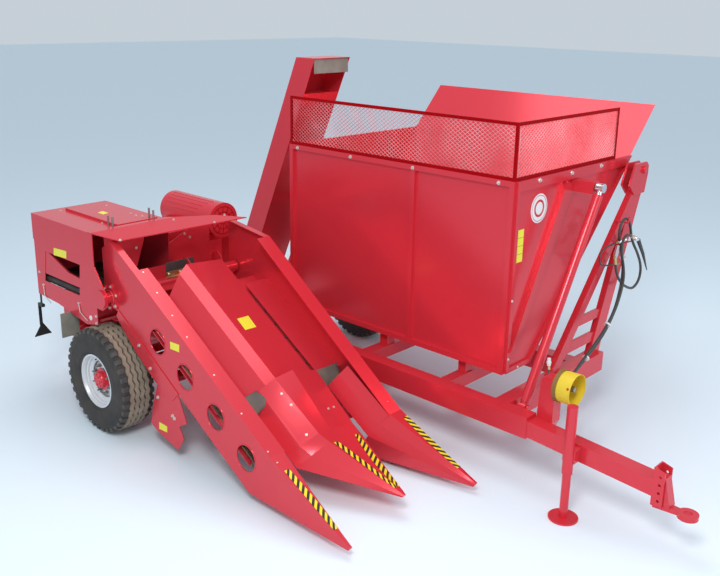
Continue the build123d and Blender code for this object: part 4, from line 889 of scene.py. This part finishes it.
@dataclass
class Fasteners:
    """Bolt heads that show in the photograph, body by body."""

    sink: float = 0.0015
    rows: tuple[BoltRow, ...] = (
        BoltRow("bolts_bunker_front", "bunker", (1, 0, 0), 0.020,
                ((2.524, 0.737, 2.095), (2.524, 1.179, 2.092), (2.524, 1.619, 2.095))),
        BoltRow("bolts_bunker_side", "bunker", (0, -1, 0), 0.018,
                ((2.379, 0.440, 2.095), (1.60, 0.440, 2.095), (0.95, 0.440, 2.095),
                 (0.33, 0.440, 2.095))),
        BoltRow("bolts_wall_top", "head", (0, 0, 1), 0.008,
                ((0.03, -1.176, 0.0), (0.245, -1.186, 0.0), (0.475, -1.198, 0.0),
                 (0.687, -1.208, 0.0), (1.05, -1.215, 0.0), (1.40, -1.222, 0.0),
                 (1.727, -1.233, 0.0), (1.827, -1.229, 0.006)), on_slope=True),
        BoltRow("bolts_cover_left", "head", (0, 0, 1), 0.010,
                ((1.377, -0.112, 0.001), (1.392, -0.096, 0.001), (1.520, -0.097, 0.001),
                 (1.764, -0.089, 0.001)), on_slope=True),
        BoltRow("bolts_hump", "head", (-0.05, -0.45, 0.85), 0.012,
                ((1.353, -0.806, -0.043), (1.460, -0.797, -0.046), (1.700, -0.826, -0.078)),
                on_slope=True),
        BoltRow("bolts_hump_left", "head", (0.0, 0.33, 0.85), 0.012,
                ((1.581, -0.505, -0.092), (1.576, -0.432, -0.116)), on_slope=True),
        BoltRow("bolts_guard", "head", (0, -1, 0), 0.016,
                ((0.797, -1.250, 0.352), (0.819, -1.250, 0.337), (0.544, -1.256, 0.652),
                 (0.410, -1.256, 0.797), (0.616, -1.250, 0.441))),
        BoltRow("bolts_box", "frame", (0, -1, 0), 0.014,
                ((-0.042, -1.335, 0.872), (-0.041, -1.335, 0.931), (-0.905, -1.335, 1.10))),
        BoltRow("bolts_strip", "frame", (0.24, 0, 0.97), 0.013,
                ((0.161, -1.209, 1.554), (0.021, -0.631, 1.589), (0.182, -0.349, 1.549),
                 (0.100, -0.180, 1.569))),
        BoltRow("bolts_panel", "frame", (1, 0, 0), 0.014, ((-0.024, -0.959, 1.410),)),
        BoltRow("bolts_auger_back", "head", (1, 0, 0), 0.014,
                ((-0.135, -0.421, 1.408), (-0.135, -0.368, 1.368))),
        BoltRow("bolts_lid", "lid", (0, 0, 1), 0.013,
                ((-0.733, -0.778, 1.602), (-0.344, -0.789, 1.602), (-0.258, -0.799, 1.602),
                 (-0.204, -0.772, 1.602))),
        BoltRow("bolts_cover_box", "frame", (0, 0, 1), 0.012,
                ((-0.256, -1.106, 1.592), (-0.060, -1.30, 1.592), (-0.045, -1.26, 1.592),
                 (-0.86, -1.13, 1.592))),
        BoltRow("bolts_end_frame", "bunker", (1, 0, 0), 0.012,
                ((2.524, 0.484, 0.80), (2.524, 0.484, 1.25), (2.524, 0.62, 0.702))),
    )

    def build(self) -> None:
        """All bolt heads."""
        for row in self.rows:
            piece = Piece(row.name)
            out = Vector(row.out)
            if row.on_slope:
                out = Layout.on_slope(*row.out) - Layout.on_slope(0.0, 0.0, 0.0)
            for spot in row.spots:
                place = Layout.on_slope(*spot) if row.on_slope else Layout.point(*spot)
                piece.bolt(place - out.normalized() * self.sink, out, row.size)
            piece.finish(row.body, Finish.ZINC)


@dataclass
class WheelParts:
    """Stepped rim face, red hub with its flange, studs and valve.

    Profiles are given as radius and place outwards from the tyre's middle.
    """

    rim: tuple[Spot2, ...] = ((0.2075, 0.119), (0.1960, 0.108), (0.1955, 0.094), (0.1800, 0.087),
                              (0.1790, 0.074), (0.1620, 0.068), (0.1500, 0.061), (0.1500, 0.056),
                              (0.2090, 0.056))
    hub: tuple[Spot2, ...] = ((0.0, 0.058), (0.088, 0.058), (0.088, 0.070), (0.0655, 0.073),
                              (0.0650, 0.100), (0.0600, 0.106), (0.0300, 0.108), (0.0280, 0.113),
                              (0.0, 0.113))
    cap_bolts: int = 6
    cap_ring: float = 0.047
    cap_face: float = 0.105
    cap_bolt: float = 0.011
    studs: int = 8
    stud_ring: float = 0.108
    stud_span: Spot2 = (0.056, 0.096)
    stud_radius: float = 0.0065
    nut_face: float = 0.060
    nut: float = 0.021
    valve_place: Spot2 = (0.186, 0.090)
    valve_reach: Spot2 = (-0.010, 0.030)
    valve_radius: float = 0.0045
    valve_base: float = 0.008

    def centre_parts(self, side: str, centre: Vector, way: Vector) -> None:
        """Rim face and hub of one wheel."""
        face = Piece("rim_face_" + side)
        face.spin(self.rim, centre, 64, way)
        face.finish("wheel_" + side, Finish.RIM, smooth=True)
        hub = Piece("hub_" + side)
        hub.spin(self.hub, centre, 48, way)
        for i in range(self.cap_bolts):
            place = centre + Layout.spoke(i / self.cap_bolts, self.cap_ring)
            hub.bolt(place + way * self.cap_face, way, self.cap_bolt)
        hub.finish("wheel_" + side, Finish.RED, smooth=True)

    def fixings(self, side: str, centre: Vector, way: Vector) -> None:
        """Studs with their nuts, and the valve, of one wheel."""
        nuts = Piece("wheel_nuts_" + side)
        inner, outer = self.stud_span
        for i in range(self.studs):
            place = centre + Layout.spoke((i + 0.5) / self.studs, self.stud_ring)
            nuts.bar(place + way * inner, place + way * outer, self.stud_radius, 10)
            nuts.bolt(place + way * self.nut_face, way, self.nut)
        nuts.finish("wheel_" + side, Finish.WORN)
        valve = Piece("valve_" + side)
        height, out = self.valve_place
        foot = centre + UP * height + way * out
        height, out = self.valve_reach
        valve.bar(foot, foot + UP * height + way * out, self.valve_radius, 10)
        valve.bar(foot, foot + way * self.valve_base, self.valve_base, 12)
        valve.finish("wheel_" + side, Finish.BLACK)

    def build(self) -> None:
        """Parts of both wheels."""
        for side, y, out in WHEELS:
            centre = Layout.point(0.0, y, WHEEL_RADIUS)
            self.centre_parts(side, centre, LEFT * out)
            self.fixings(side, centre, LEFT * out)


@dataclass
class WallTrim:
    """Pressed rims of the holes in the right wall, and the drive chain seen through them."""

    holes: tuple[Spot2, ...] = ((0.646, 0.889), (0.969, 0.711), (1.308, 0.518), (1.629, 0.328))
    lip_radius: float = 0.099
    lip: Spot2 = (0.0055, 0.0045)
    pitch: float = 0.0254
    chain_y: float = -1.222
    run: tuple[Spot2, Spot2] = ((0.38, -0.205), (1.70, -0.190))
    link_offset: float = 0.0095
    inner_link: float = 0.72
    link_radius: float = 0.0075
    overlap: float = 0.22
    pin: Spot2 = (0.012, 0.006)
    sprocket: Spot2 = (0.006, 0.046)
    shaft: tuple[float, float, float] = (0.022, 0.012, 0.017)

    def rims(self) -> None:
        """A raised lip round every hole."""
        piece = Piece("hole_rims")
        for x, z in self.holes:
            piece.hoop(self.lip_radius, self.lip, 10, Layout.point(x, HEAD_WALL, z), 48, -LEFT)
        piece.finish("head", Finish.RED, smooth=True)

    def chain(self) -> None:
        """Roller chain along the wall, with a sprocket at either end."""
        (u0, n0), (u1, n1) = self.run
        start, end = Layout.on_slope(u0, self.chain_y, n0), Layout.on_slope(u1, self.chain_y, n1)
        links = int((end - start).length / self.pitch)
        piece = Piece("drive_chain")
        step = (end - start) / links
        pin, pin_radius = self.pin
        for i in range(links):
            place = start + step * i
            for side in (-1, 1):
                offset = side * self.link_offset * (1.0 if i % 2 else self.inner_link)
                link = place + LEFT * offset
                piece.bar(link - step * self.overlap, link + step * (1 + self.overlap),
                          self.link_radius, 6)
            piece.bar(place - LEFT * pin, place + LEFT * pin, pin_radius, 8)
        thick, radius = self.sprocket
        right, left, shaft_radius = self.shaft
        for place in (start, end):
            piece.bar(place - LEFT * thick, place + LEFT * thick, radius, 24)
            piece.bar(place - LEFT * right, place + LEFT * left, shaft_radius, 16)
        piece.finish("head", Finish.CHAIN)

    def build(self) -> None:
        """All of the wall's trim."""
        self.rims()
        self.chain()


@dataclass
class SlotFlaps:
    """Worn rubber flaps that close the slots behind the noses.

    Each flap has four corners on the slope, two at its upper and two at its lower edge. It
    sags across by sag at its upper edge and by more_sag more at its lower one, and rises
    by rise halfway down.
    """

    thickness: float = 0.005
    sag: float = 0.016
    more_sag: float = 0.020
    rise: float = 0.010
    flaps: tuple[tuple[str, Spot, Spot, Spot, Spot], ...] = (
        ("flap_left", (1.225, -0.085, -0.150), (1.215, -0.350, -0.150),
         (1.395, -0.130, -0.205), (1.345, -0.360, -0.150)),
        ("flap_right", (1.225, -1.150, -0.150), (1.215, -0.900, -0.130),
         (1.395, -1.110, -0.205), (1.345, -0.890, -0.115)),
    )

    def build(self) -> None:
        """Both flaps as sagging sheets."""
        for name, *spots in self.flaps:
            piece = Piece(name)
            grid = bmesh.ops.create_grid(piece.bm, x_segments=10, y_segments=8, size=0.5)["verts"]
            first, second, third, fourth = (Vector(spot) for spot in spots)
            for vert in grid:
                down, across = vert.co.y + 0.5, vert.co.x + 0.5
                spot = first.lerp(second, across).lerp(third.lerp(fourth, across), down)
                drop = math.sin(math.pi * across) * (self.sag + self.more_sag * down)
                drop -= math.sin(math.pi * down) * self.rise
                vert.co = Layout.on_slope(spot.x, spot.y, spot.z - drop)
            made = piece.finish("head", Finish.WORN_FLAP, smooth=True, closed=False)
            thick = made.modifiers.new("thickness", "SOLIDIFY")
            thick.thickness = self.thickness


@dataclass
class AugerParts:
    """Rubber paddle on the auger's tube, held by a bolted steel foot."""

    tube: float = 0.050
    reach: float = 0.166
    across: Spot2 = (-0.754, -0.474)
    rear: float = -0.004
    face: float = 0.005
    leg: float = 0.005
    leg_height: float = 0.042
    leg_reach: float = 0.030
    margin: float = 0.006
    bolt_parts: tuple[float, ...] = (0.12, 0.5, 0.88)
    bolt_height: float = 0.022
    bolt: float = 0.015

    def build(self) -> None:
        """The paddle, its foot and its bolts."""
        x, z = AUGER_AXIS
        right, left = self.across
        top = z + self.tube
        plate = Piece("auger_paddle")
        corners = [(right, top + 0.012), (left, top + 0.030), (left, z + self.reach),
                   (right + 0.004, z + self.reach)]
        plate.plate([Layout.point(x + self.rear, y, height) for y, height in corners],
                    FORWARD * (self.face - self.rear))
        plate.finish("auger", Finish.FLAP, bevel=0.001)
        foot = Piece("auger_paddle_foot")
        corner = Layout.point(x + self.face, right + self.margin, top - self.margin)
        end = left - self.margin
        foot.block(corner, Layout.point(x + self.face + self.leg, end, top + self.leg_height))
        foot.block(corner, Layout.point(x + self.leg_reach, end, top - self.margin + self.leg))
        foot.finish("auger", Finish.BRASS, bevel=0.001)
        bolts = Piece("auger_paddle_bolts")
        for part in self.bolt_parts:
            bolts.bolt(Layout.point(x + self.face + self.leg, right + (left - right) * part,
                                    top + self.bolt_height), FORWARD, self.bolt)
        bolts.finish("auger", Finish.ZINC)


@dataclass
class FanTrim:
    """Pressed ribs and bolts on the fan's drum, the guard in its mouth and the panel below it.

    The centre is given across and upwards, the span as the rear and the front end.
    """

    centre: Spot2 = (0.0, 1.450)
    radius: float = 0.155
    span: Spot2 = (-0.870, -0.150)
    sink: float = 0.001
    ribs: tuple[float, ...] = (102.0, 116.0, 130.0, 144.0, 158.0)
    rib_margins: Spot2 = (0.06, 0.09)
    rib_step: float = 0.035
    rib_radius: float = 0.0055
    bolts: int = 9
    bolt_margin: float = 0.02
    bolt_angle: float = 92.0
    bolt_out: Spot = (0.0, -0.03, 1.0)
    bolt: float = 0.008
    spokes: int = 12
    hoops: tuple[float, ...] = (0.030, 0.075, 0.120)
    wire: float = 0.003
    panel_back: float = 0.110
    panel_gap: float = 0.003
    panel_thickness: float = 0.004
    panel_foot: tuple[Spot2, Spot2] = ((-0.152, 1.000), (0.150, 1.000))

    def around(self, x: float, degrees: float, radius: float) -> Vector:
        """Place on the drum at an angle from the left, upwards."""
        angle = math.radians(degrees)
        y, z = self.centre
        return Layout.point(x, y + radius * math.cos(angle), z + radius * math.sin(angle))

    def drum(self) -> None:
        """Ribs along the drum, each shorter than the one before, and a row of bolts."""
        rear, front = self.span
        rear_margin, front_margin = self.rib_margins
        surface = self.radius - self.sink
        ribs = Piece("fan_ribs")
        for place, degrees in enumerate(self.ribs):
            end = front - front_margin - self.rib_step * place
            ribs.bar(self.around(rear + rear_margin, degrees, surface),
                     self.around(end, degrees, surface), self.rib_radius, 10)
        ribs.finish("frame", Finish.RED, smooth=True)
        bolts = Piece("fan_bolts")
        length = front - rear - 2 * self.bolt_margin
        for i in range(self.bolts):
            x = rear + self.bolt_margin + length * i / (self.bolts - 1)
            bolts.bolt(self.around(x, self.bolt_angle, surface), Vector(self.bolt_out), self.bolt)
        bolts.finish("frame", Finish.ZINC)

    def guard(self) -> None:
        """Spokes and rings in the drum's mouth."""
        front = self.span[1]
        piece = Piece("fan_mouth_guard")
        for i in range(self.spokes):
            angle = 360.0 * i / self.spokes
            piece.bar(self.around(front, angle, self.hoops[0]),
                      self.around(front, angle, self.hoops[-1]), self.wire, 8)
        for radius in self.hoops:
            piece.hoop(radius, (self.wire, self.wire), 8, self.around(front, 0.0, 0.0), 36, FORWARD)
        # The guard in the drum's mouth takes the darker red: painted shade.
        piece.finish("frame", Finish.RED_PAINTED_SHADE, smooth=True)

    def panel(self) -> None:
        """Plate behind the mouth, cut round at the top where it follows the drum."""
        x = self.span[1] - self.panel_back
        arc = [self.around(x, 360.0 - 20.0 * i, self.radius - self.panel_gap) for i in range(10)]
        foot = [Layout.point(x, y, z) for y, z in self.panel_foot]
        piece = Piece("fan_front_panel")
        piece.plate(foot + arc, FORWARD * self.panel_thickness)
        piece.finish("frame", Finish.RED)

    def build(self) -> None:
        """All of the drum's trim."""
        self.drum()
        self.guard()
        self.panel()


@dataclass
class BoxTrim:
    """Latches, white marker and studs on the husking box, star flange on the head's pivot.

    The flange's profile is given as radius and place outwards from the wall.
    """

    latches: tuple[tuple[Spot2, Spot2, Spot2], ...] = (
        ((-0.848, 1.000), (-0.839, 0.908), (-0.744, 0.865)),
        ((-0.288, 0.978), (-0.276, 0.908), (-0.169, 0.862)),
    )
    wire: float = 0.0035
    wire_gap: float = 0.006
    button: float = 0.009
    button_span: Spot2 = (0.008, -0.004)
    studs: tuple[Spot, ...] = ((-0.140, -1.120, 1.591), (-0.079, -1.120, 1.591),
                               (-0.118, -0.765, 1.601), (-0.058, -0.765, 1.591))
    stud_height: float = 0.085
    stud_radius: float = 0.008
    marker: Spot2 = (-0.122, 0.897)
    marker_radius: float = 0.019
    marker_span: Spot2 = (0.001, -0.005)
    flange: tuple[Spot2, ...] = ((0.047, -0.001), (0.080, -0.001), (0.080, 0.010),
                                 (0.060, 0.012), (0.056, 0.022), (0.047, 0.022))
    lobes: int = 6
    lobe_turn: float = 0.35
    lobe_ring: float = 0.088
    lobe_radius: float = 0.024
    lobe_span: Spot2 = (-0.001, 0.010)
    lobe_bolt: float = 0.016

    def add_latches(self) -> None:
        """Bent wires on the box's right side, each on its button."""
        piece = Piece("box_latches")
        for points in self.latches:
            spots = [Layout.point(x, BOX_SIDE - self.wire_gap, z) for x, z in points]
            for start, end in zip(spots, spots[1:]):
                piece.bar(start, end, self.wire, 10)
            inner, outer = self.button_span
            piece.bar(spots[0] + LEFT * inner, spots[0] + LEFT * outer, self.button, 12)
        piece.finish("frame", Finish.ZINC, smooth=True)

    def add_studs(self) -> None:
        """Upright studs on the box's cover."""
        piece = Piece("box_studs")
        for spot in self.studs:
            foot = Layout.point(*spot)
            piece.bar(foot, foot + UP * self.stud_height, self.stud_radius, 12)
        piece.finish("frame", Finish.WORN, smooth=True)

    def add_marker(self) -> None:
        """Round white marker on the box's right side."""
        piece = Piece("box_marker")
        x, z = self.marker
        inner, outer = (Layout.point(x, BOX_SIDE + y, z) for y in self.marker_span)
        piece.bar(inner, outer, self.marker_radius, 24)
        piece.finish("frame", Finish.WHITE)

    def add_flange(self) -> None:
        """Flange with bolted lobes round the head's pivot."""
        x, z = AUGER_AXIS
        centre = Layout.point(x, HEAD_WALL, z)
        inner, outer = self.lobe_span
        flange = Piece("pivot_flange")
        flange.spin(self.flange, centre, 48, -LEFT)
        bolts = Piece("pivot_bolts")
        for i in range(self.lobes):
            lobe = centre + Layout.spoke((i + self.lobe_turn) / self.lobes, self.lobe_ring)
            flange.bar(lobe - LEFT * inner, lobe - LEFT * outer, self.lobe_radius, 20)
            bolts.bolt(lobe - LEFT * outer, -LEFT, self.lobe_bolt)
        flange.finish("head", Finish.RED, bevel=0.001)
        bolts.finish("head", Finish.ZINC)

    def build(self) -> None:
        """All of the box's trim."""
        self.add_latches()
        self.add_studs()
        self.add_marker()
        self.add_flange()


@dataclass
class CupTrim:
    """Clamp band and knob of the shaft's guard."""

    centre: Spot = (3.035, 0.350, 0.807)
    radius: float = 0.1132
    band_half: float = 0.002
    band_width: float = 0.030
    knob: Spot = (0.118, -0.108, 0.040)
    knob_reach: Spot = (0.0, 0.018, -0.004)
    knob_radius: float = 0.009

    def build(self) -> None:
        """Band round the cup and the knob on its rim."""
        centre = Layout.point(*self.centre)
        inner, outer = self.radius - self.band_half, self.radius + self.band_half
        band = Piece("cup_band")
        band.spin([(inner, 0.0), (outer, 0.0), (outer, self.band_width), (inner, self.band_width)],
                  centre, 48, FORWARD)
        band.finish("frame", Finish.BAND, smooth=True)
        knob = Piece("cup_knob")
        start = centre + Vector(self.knob)
        knob.bar(start, start + Vector(self.knob_reach), self.knob_radius, 16)
        knob.finish("frame", Finish.RED, smooth=True)


@dataclass(frozen=True)
class Hose:
    """One hose through its points, with a steel ferrule at each end."""

    name: str
    diameter: float
    points: tuple[Spot, ...]


@dataclass(frozen=True)
class Rod:
    """One straight rod, with the radius of its far end where that differs."""

    start: Spot
    end: Spot
    radius: float
    sides: int
    tip: float | None = None


@dataclass
class Hoses:
    """Tractor hoses parked on a hook of the front stand, their couplings and the valve they leave.

    A part of the ferrule has its start and end along the hose, its radius as a share of the
    hose's radius, and its number of sides. A tie has its middle and the way of the hose there.
    """

    valve: Span = ((2.825, 0.470, 0.569), (2.890, 0.575, 0.632))
    ports: tuple[Rod, ...] = (
        Rod((2.872, 0.570, 0.615), (2.872, 0.600, 0.615), 0.011, 6),
        Rod((2.845, 0.570, 0.590), (2.845, 0.600, 0.590), 0.011, 6),
        Rod((2.850, 0.500, 0.630), (2.850, 0.500, 0.655), 0.011, 6),
        Rod((2.858, 0.440, 0.600), (2.858, 0.472, 0.600), 0.010, 12),
    )
    hooks: tuple[Rod, ...] = (
        Rod((2.620, 1.745, 1.650), (2.738, 1.745, 1.650), 0.006, 12),
        Rod((2.735, 1.745, 1.648), (2.742, 1.745, 1.700), 0.006, 12),
        Rod((2.640, 1.780, 1.455), (2.760, 1.780, 1.500), 0.006, 12),
        Rod((2.800, 0.590, 0.560), (2.800, 0.580, 0.835), 0.006, 12),
        Rod((2.800, 0.577, 0.832), (2.815, 0.574, 0.832), 0.012, 12),
    )
    couplings: tuple[Rod, ...] = (
        Rod((2.750, 1.812, 1.531), (2.750, 1.945, 1.478), 0.014, 20),
        Rod((2.750, 1.855, 1.514), (2.750, 1.900, 1.496), 0.019, 20),
        Rod((2.748, 1.560, 1.395), (2.746, 1.590, 1.500), 0.014, 20),
        Rod((2.748, 1.565, 1.420), (2.747, 1.577, 1.460), 0.018, 20),
        Rod((2.712, 1.652, 1.507), (2.735, 1.735, 1.520), 0.013, 20),
    )
    grip: tuple[Rod, ...] = (
        Rod((2.750, 1.925, 1.486), (2.748, 2.050, 1.340), 0.017, 16, 0.013),
        Rod((2.748, 2.048, 1.342), (2.745, 2.160, 1.180), 0.013, 16, 0.004),
    )
    holder: tuple[Rod, ...] = (
        Rod((2.812, 0.571, 0.815), (2.808, 0.574, 0.870), 0.0135, 16),
        Rod((2.810, 0.573, 0.830), (2.809, 0.574, 0.845), 0.017, 16),
    )
    ties: tuple[Span, ...] = (
        ((2.718, 1.752, 1.360), (0.0, -0.35, 1.0)),
        ((2.785, 1.466, 0.885), (0.0, 0.8, 0.5)),
        ((2.838, 1.066, 0.735), (0.0, 1.0, 0.25)),
    )
    tie_half: float = 0.006
    tie_radius: float = 0.0255
    ferrule: tuple[tuple[float, float, float, int], ...] = (
        (-0.016, 0.030, 1.25, 16), (-0.030, -0.014, 1.45, 6), (-0.042, -0.028, 0.8, 12),
    )
    hoses: tuple[Hose, ...] = (
        Hose("hose_loop", 0.021, (
            (2.872, 0.600, 0.615), (2.872, 0.660, 0.622), (2.870, 0.743, 0.640), (2.860, 0.875, 0.692),
            (2.840, 1.066, 0.760), (2.800, 1.348, 0.826), (2.770, 1.583, 0.941), (2.740, 1.719, 1.103),
            (2.724, 1.770, 1.250), (2.718, 1.740, 1.380), (2.716, 1.680, 1.490), (2.716, 1.645, 1.590),
            (2.717, 1.680, 1.675), (2.718, 1.760, 1.690), (2.720, 1.825, 1.615), (2.722, 1.850, 1.530),
            (2.724, 1.900, 1.450), (2.726, 1.986, 1.363),
            (2.728, 2.081, 1.231), (2.730, 2.075, 1.115), (2.732, 1.970, 1.055), (2.736, 1.840, 1.096),
            (2.740, 1.708, 1.170), (2.745, 1.600, 1.282), (2.748, 1.565, 1.380))),
        Hose("hose_run", 0.021, (
            (2.845, 0.600, 0.590), (2.846, 0.670, 0.592), (2.846, 0.743, 0.604), (2.838, 0.875, 0.650),
            (2.820, 1.058, 0.700), (2.792, 1.307, 0.762), (2.775, 1.500, 0.855), (2.765, 1.660, 1.020),
            (2.752, 1.745, 1.190), (2.748, 1.715, 1.320), (2.750, 1.655, 1.420), (2.752, 1.645, 1.520),
            (2.752, 1.715, 1.575), (2.750, 1.815, 1.531))),
        Hose("hose_small", 0.013, (
            (2.712, 1.650, 1.507), (2.706, 1.567, 1.503), (2.700, 1.470, 1.492), (2.700, 1.405, 1.455),
            (2.701, 1.395, 1.400), (2.702, 1.445, 1.352), (2.704, 1.560, 1.335), (2.704, 1.640, 1.325),
            (2.704, 1.700, 1.318))),
        Hose("hose_short", 0.016, (
            (2.850, 0.500, 0.655), (2.850, 0.505, 0.690), (2.842, 0.530, 0.735), (2.825, 0.558, 0.775),
            (2.812, 0.572, 0.815))),
    )

    def curve(self, hose: Hose) -> bpy.types.Object:
        """Smooth tube through a hose's points."""
        data = bpy.data.curves.new(hose.name, "CURVE")
        data.dimensions = "3D"
        data.bevel_depth = hose.diameter / 2
        data.bevel_resolution = 4
        data.resolution_u = 12
        data.use_fill_caps = True
        spline = data.splines.new("NURBS")
        spline.points.add(len(hose.points) - 1)
        for point, spot in zip(spline.points, hose.points):
            point.co = (*Layout.point(*spot), 1.0)
        spline.order_u = 3
        spline.use_endpoint_u = True
        made = bpy.data.objects.new(hose.name, data)
        bpy.context.scene.collection.objects.link(made)
        data.materials.append(Finish.HOSE.get())
        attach(made, "frame")
        return made

    def ferrules(self, hose: Hose) -> bpy.types.Object:
        """Crimped steel ends of one hose."""
        piece = Piece(hose.name + "_ends")
        spots = [Layout.point(*spot) for spot in hose.points]
        for end, inner in ((spots[0], spots[1]), (spots[-1], spots[-2])):
            way = (inner - end).normalized()
            for near, far, share, sides in self.ferrule:
                piece.bar(end + way * near, end + way * far, hose.diameter / 2 * share, sides)
        made = piece.finish("frame", Finish.BRASS, smooth=True)
        return made

    def add_rods(self, piece: Piece, rods: tuple[Rod, ...]) -> None:
        """Puts rods into a piece."""
        for rod in rods:
            piece.bar(Layout.point(*rod.start), Layout.point(*rod.end), rod.radius, rod.sides, rod.tip)

    def add_valve(self) -> None:
        """Valve on the frame, with its ports."""
        piece = Piece("hose_valve")
        low, high = self.valve
        piece.block(Layout.point(*low), Layout.point(*high))
        self.add_rods(piece, self.ports)
        piece.finish("frame", Finish.WORN, bevel=0.002)

    def add_parking(self) -> None:
        """Hooks on the stand, couplings and the black grip."""
        hook = Piece("hose_hook")
        self.add_rods(hook, self.hooks)
        hook.finish("frame", Finish.RED, smooth=True)
        couplings = Piece("hose_couplings")
        self.add_rods(couplings, self.couplings)
        couplings.finish("frame", Finish.ROD, smooth=True)
        grip = Piece("hose_grip")
        self.add_rods(grip, self.grip)
        grip.finish("frame", Finish.HOSE, smooth=True)

    def add_ties(self) -> None:
        """White ties round the hoses and the white holder of the short one."""
        piece = Piece("hose_ties")
        for spot, way in self.ties:
            middle = Layout.point(*spot)
            half = Vector(way).normalized() * self.tie_half
            piece.bar(middle - half, middle + half, self.tie_radius, 16)
        self.add_rods(piece, self.holder)
        piece.finish("frame", Finish.WHITE, smooth=True)

    def build(self) -> None:
        """All hoses and what they hang from."""
        self.add_valve()
        self.add_parking()
        self.add_ties()
        for hose in self.hoses:
            made = self.curve(hose)
            ends = self.ferrules(hose)
            length = made.data.splines[0].calc_length(resolution=64)
            LOG.info("%s: length %.3f m, diameter %.3f m", hose.name, length, hose.diameter)
            tuple(Layout.point(*hose.points[0]))


@dataclass
class Studio:
    """Camera at the photo's place, pale floor, soft lights.

    Angles are in degrees; the focal length, the middle and the frame are in pixels. A lamp
    has its name, place, size and power.
    """

    place: Spot = (5.7706, -4.6002, 3.2722)
    yaw: float = 132.942
    pitch: float = 16.403
    roll: float = -0.934
    focal: float = 875.669
    middle: Spot2 = (360.617, 261.849)
    frame: tuple[int, int] = (720, 576)
    sensor: float = 36.0
    reach: float = 100.0
    sky: Colour = (0.83, 0.92, 1.0)
    sky_strength: float = 0.68
    target: Spot = (0.0, 0.0, 0.8)
    lamps: tuple[tuple[str, Spot, float, float], ...] = (
        ("key", (3.5, -5.5, 6.5), 2.0, 290.0),
        ("fill", (6.5, 2.5, 4.0), 4.0, 80.0),
        ("top", (-1.0, 0.0, 7.0), 4.0, 130.0),
    )
    floor_half: float = 60.0
    floor_colour: Colour = (0.80, 0.90, 0.97)

    def camera(self) -> None:
        """Creates the camera from its fitted angles."""
        yaw, pitch, roll = (math.radians(a) for a in (self.yaw, self.pitch, self.roll))
        ahead = Vector((math.cos(yaw) * math.cos(pitch), math.sin(yaw) * math.cos(pitch),
                        -math.sin(pitch)))
        right = ahead.cross(UP).normalized()
        down = ahead.cross(right)
        across = right * math.cos(roll) + down * math.sin(roll)
        under = down * math.cos(roll) - right * math.sin(roll)
        turn = Matrix((across, -under, -ahead)).transposed()
        width, height = self.frame
        data = bpy.data.cameras.new("photo_camera")
        data.sensor_width = self.sensor
        data.lens = self.focal / width * self.sensor
        data.shift_x = (width / 2 - self.middle[0]) / width
        data.shift_y = (self.middle[1] - height / 2) / width
        data.clip_end = self.reach
        camera = bpy.data.objects.new("photo_camera", data)
        camera.matrix_world = Matrix.Translation(Layout.point(*self.place)) @ turn.to_4x4()
        bpy.context.scene.collection.objects.link(camera)
        bpy.context.scene.camera = camera

    def lights(self) -> None:
        """Large soft lights and a pale sky."""
        world = bpy.data.worlds.new("studio")
        world.use_nodes = True
        background = world.node_tree.nodes["Background"]
        background.inputs["Color"].default_value = (*self.sky, 1.0)
        background.inputs["Strength"].default_value = self.sky_strength
        bpy.context.scene.world = world
        bpy.context.scene.view_settings.view_transform = "Standard"
        for name, spot, size, power in self.lamps:
            data = bpy.data.lights.new(name, "AREA")
            data.size = size
            data.energy = power
            light = bpy.data.objects.new(name, data)
            light.location = spot
            way = Vector(self.target) - Vector(spot)
            light.rotation_euler = way.to_track_quat("-Z", "Y").to_euler()
            bpy.context.scene.collection.objects.link(light)

    def floor(self) -> None:
        """Plain pale floor."""
        bm = bmesh.new()
        bmesh.ops.create_grid(bm, x_segments=1, y_segments=1, size=self.floor_half)
        mesh = bpy.data.meshes.new("floor")
        bm.to_mesh(mesh)
        bm.free()
        floor = bpy.data.objects.new("floor", mesh)
        bpy.context.scene.collection.objects.link(floor)
        shader = Shader("floor_pale")
        mesh.materials.append(shader.finish(Base_Color=self.floor_colour, Roughness=0.9,
                                            Specular_IOR_Level=0.1))

    def build(self) -> None:
        """The whole studio."""
        self.camera()
        self.lights()
        self.floor()


def main() -> None:
    """Loads the frame, dresses it and sets up the studio."""
    logging.basicConfig(level=logging.INFO, format="%(name)s %(message)s")
    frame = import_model()
    Layout.read()
    NodeFinishes().dress(frame["nodes"])
    assemblies = (Tyres(), WheelParts(), ExpandedMesh(), NoseTapes(), Labels(), Fasteners(),
                  WallTrim(), SlotFlaps(), AugerParts(), FanTrim(), BoxTrim(), CupTrim(), Hoses(),
                  Studio())
    for assembly in assemblies:
        assembly.build()
    bpy.context.view_layer.update()


if __name__ == "__main__":
    main()
